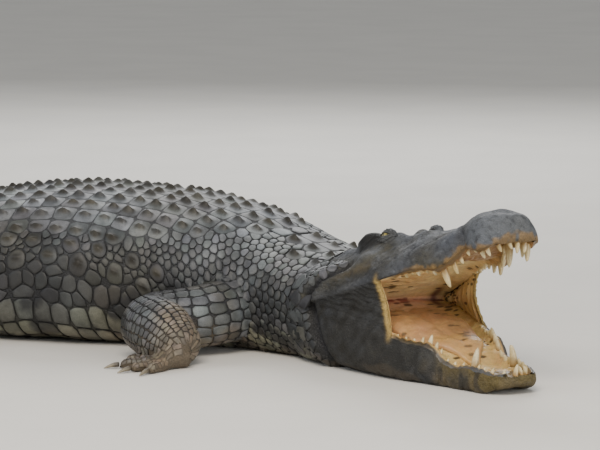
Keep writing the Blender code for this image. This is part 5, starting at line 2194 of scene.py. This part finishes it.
# %% Lids
# rings of a lid: degrees back from its edge, height over the eyeball in millimetres
LID = [(-3, -1.5), (0, 0.4), (2, 1.8), (5, 3.0), (9, 3.6), (14, 3.4), (18, 2.4), (21, 2.2), (26, 3.4)]
LID += [(32, 3.8), (38, 3.0), (41, 2.6), (47, 3.4), (56, 3.2), (68, 1.6), (82, -1.0), (100, -4.0)]


LID_POINTS = 128


def lids(name, side):
    psi = np.linspace(0, 2 * np.pi, LID_POINTS, endpoint=False)
    fore, above, under = OPENING
    high = np.where(np.sin(psi) > 0, above, under)
    edge = ((np.abs(np.cos(psi)) / fore) ** 1.5 + (np.abs(np.sin(psi)) / high) ** 1.5) ** (-1 / 1.5)
    back = np.linspace(LID[0][0], LID[-1][0], 110)[:, None]
    rho = np.radians(edge + back)
    height = smooth(LID, back[:, 0])[:, 0][:, None] * 0.001
    turn = np.stack(np.broadcast_arrays(np.cos(psi), np.sin(psi), 0.02 * back), axis=-1)
    wrinkle = 0.0007 * ripple(turn, 0.22, 113) * step(4, 12, back) + 0.0003 * ripple(turn, 0.08, 114)
    pull = 0.24 * step(2, 30, back) + 0 * rho
    points = around_eye(rho, psi + 0 * rho, EYE_RADIUS + height + wrinkle, pull) * [1, -side, 1]
    obj = loft(name, placed(points, SKULL), closed=False)
    bm = bmesh.new()
    bm.from_mesh(obj.data)
    bm.verts.ensure_lookup_table()
    for ring in range(len(back) - 1):
        first = ring * LID_POINTS
        last = first + LID_POINTS - 1
        corners = (last, first, first + LID_POINTS, last + LID_POINTS)
        bm.faces.new([bm.verts[corner] for corner in corners])
    bmesh.ops.recalc_face_normals(bm, faces=bm.faces)
    bm.to_mesh(obj.data)
    bm.free()
    middle = 60 * LID_POINTS
    from_eye = coordinates(obj.data)[middle] - placed([EYE[0], side * EYE[1], EYE[2]], SKULL)
    if normals(obj.data)[middle] @ from_eye < 0:
        obj.data.flip_normals()
    back = np.repeat(back[:, 0], LID_POINTS)
    colour = coated(
        head_colour(coordinates(obj.data)),
        (NOSE_GREY, 0.15),
        # painted shade: the two folds of each lid are painted dark
        (BLACK, 0.55 * (bump(back, 19.5, 2.5) + bump(back, 40, 3.0))),
        (linear("#3a3420"), bump(back, 1.5, 2.5)),
    )
    paint(obj.data, colour)
    return obj


# cornea over a wet iris: glassy clear coat
CORNEA = painted("wet_eyeball", 0.18, 0.5, (0.5, 0.05, 0.0), (3, 0.05, 0.0))
CORNEA.node_tree.nodes["Principled BSDF"].inputs["Coat Weight"].default_value = 1.0
CORNEA.node_tree.nodes["Principled BSDF"].inputs["Coat Roughness"].default_value = 0.03
eyes = {"eye_right": eyeball("eyeball_right", -1), "eye_left": eyeball("eyeball_left", 1)}
eyelids = [lids("eyelids_right", -1), lids("eyelids_left", 1)]
for piece in [*eyes.values(), *eyelids]:
    piece.data.materials.append(CORNEA if piece in eyes.values() else DERMIS)
    shade_smooth(piece)
print("eyes:", sorted(eyes))

# %% [markdown]
# ## Claws
#
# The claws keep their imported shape, rounded by Subdivision Surface. Horn grows in lengthwise fibres
# from a dark root and wears pale at the point.

# %% Claws
CLAW_NODES = [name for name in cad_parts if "claw" in name]
HORN_TIP = linear("#8f8570")
HORN_ROOT = linear("#37312a")


def all_claws():
    made = []
    for name in CLAW_NODES:
        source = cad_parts[name]
        mesh = source.data.copy()
        mesh.transform(source.matrix_world)
        bm = bmesh.new()
        bm.from_mesh(mesh)
        bmesh.ops.remove_doubles(bm, verts=bm.verts, dist=1e-5)
        bm.to_mesh(mesh)
        bm.free()
        mesh.materials.clear()
        obj = link("horn_" + name, mesh)
        apply_modifier(obj, "SUBSURF", levels=2, render_levels=2)
        points = coordinates(obj.data)
        tip = points[np.argmin(points[:, 2])]
        away = np.linalg.norm(points - tip, axis=1)
        share = np.clip(away / away.max(), 0, 1)
        fibre = ripple(points * [1, 1, 0.4], 0.006, 121)
        paint(obj.data, mix(HORN_TIP, HORN_ROOT, np.clip(share + 0.18 * fibre, 0, 1)))
        made.append(obj)
    return join(made, "claws")


claws = all_claws()
# horn: dense keratin, polished by the ground
HORN = painted("claw_horn", 0.38, 0.5, (1.2, 0.18, 0.4), (9, 0.12, 0.6))
claws.data.materials.append(HORN)
shade_smooth(claws)
print("claw faces:", len(claws.data.polygons))

# %% [markdown]
# ## Floor, light and camera
#
# A pale floor and large soft lights show form without drawing attention. The camera stands a little
# above the ground ahead of the right shoulder.

# %% Stage
def stage():
    deselect()
    bpy.ops.mesh.primitive_plane_add(size=40, location=(0, 0, 0))
    floor = bpy.context.view_layer.objects.active
    floor.name = "floor"
    # painted studio floor: matt, with a faint mottle
    material, tree, shader = new_material("matt_floor_paint")
    place = add(tree, "ShaderNodeTexCoord").outputs["Object"]
    tone = add(tree, "ShaderNodeRGB")
    tone.outputs[0].default_value = (*linear("#d9d6cf"), 1)
    tree.links.new(varied(tree, tone.outputs[0], place, 400, 0.97, 1.03), shader.inputs["Base Color"])
    shader.inputs["Roughness"].default_value = 0.85
    floor.data.materials.append(material)


def light(name, place, target, size, power_in_watts, colour="#ffffff"):
    data = bpy.data.lights.new(name, "AREA")
    data.size = size
    data.energy = power_in_watts
    data.color = linear(colour)
    obj = link(name, data)
    obj.location = place
    obj.rotation_euler = (Vector(target) - Vector(place)).to_track_quat("-Z", "Y").to_euler()


def camera(azimuth, elevation, distance, target, lens):
    a, e = math.radians(azimuth), math.radians(elevation)
    back = Vector((math.sin(a) * math.cos(e), -math.cos(a) * math.cos(e), math.sin(e)))
    data = bpy.data.cameras.new("camera")
    data.lens = lens
    data.sensor_width = 36.0
    data.clip_end = 100.0
    obj = link("camera", data)
    obj.location = Vector(target) + distance * back
    obj.rotation_euler = (-back).to_track_quat("-Z", "Y").to_euler()
    bpy.context.scene.camera = obj


stage()
light("key", (1.5, -4.5, 4.5), (0.4, -0.2, 0.1), 3.0, 330, "#fff6ea")
light("fill", (-4.5, -4.0, 3.0), (-0.3, 0, 0.2), 4.0, 120, "#eef4ff")
light("rim", (-1.0, 5.0, 4.0), (0.0, 0, 0.2), 4.0, 260)
light("front", (6.0, -3.5, 1.4), (1.2, -0.4, 0.2), 3.0, 170)
world = bpy.data.worlds.new("studio")
world.use_nodes = True
world.node_tree.nodes["Background"].inputs["Color"].default_value = (*linear("#e6e8ea"), 1)
world.node_tree.nodes["Background"].inputs["Strength"].default_value = 0.55
bpy.context.scene.world = world
camera(21.0, 7.0, 9.0, (0.6751, -0.0522, 0.305), 208.1)
print("camera at", [round(v, 2) for v in bpy.context.scene.camera.location])

# %% Finish
for piece in [skin, lining, tongue, teeth, claws, *eyes.values(), *eyelids, *coat]:
    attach(piece, "root")
MOUTH_NODES = {
    "palate_and_teeth": [lining, teeth],
    "mouth_floor_and_teeth": [lining, teeth],
    "tongue": [tongue],
}
for node, pieces in MOUTH_NODES.items():
    for piece in pieces:
        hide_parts(node)
for node, piece in eyes.items():
    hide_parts(node)
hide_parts(*CLAW_NODES)
OTHER = {*MOUTH_NODES, *eyes, *CLAW_NODES}
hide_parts(*(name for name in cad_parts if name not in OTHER))
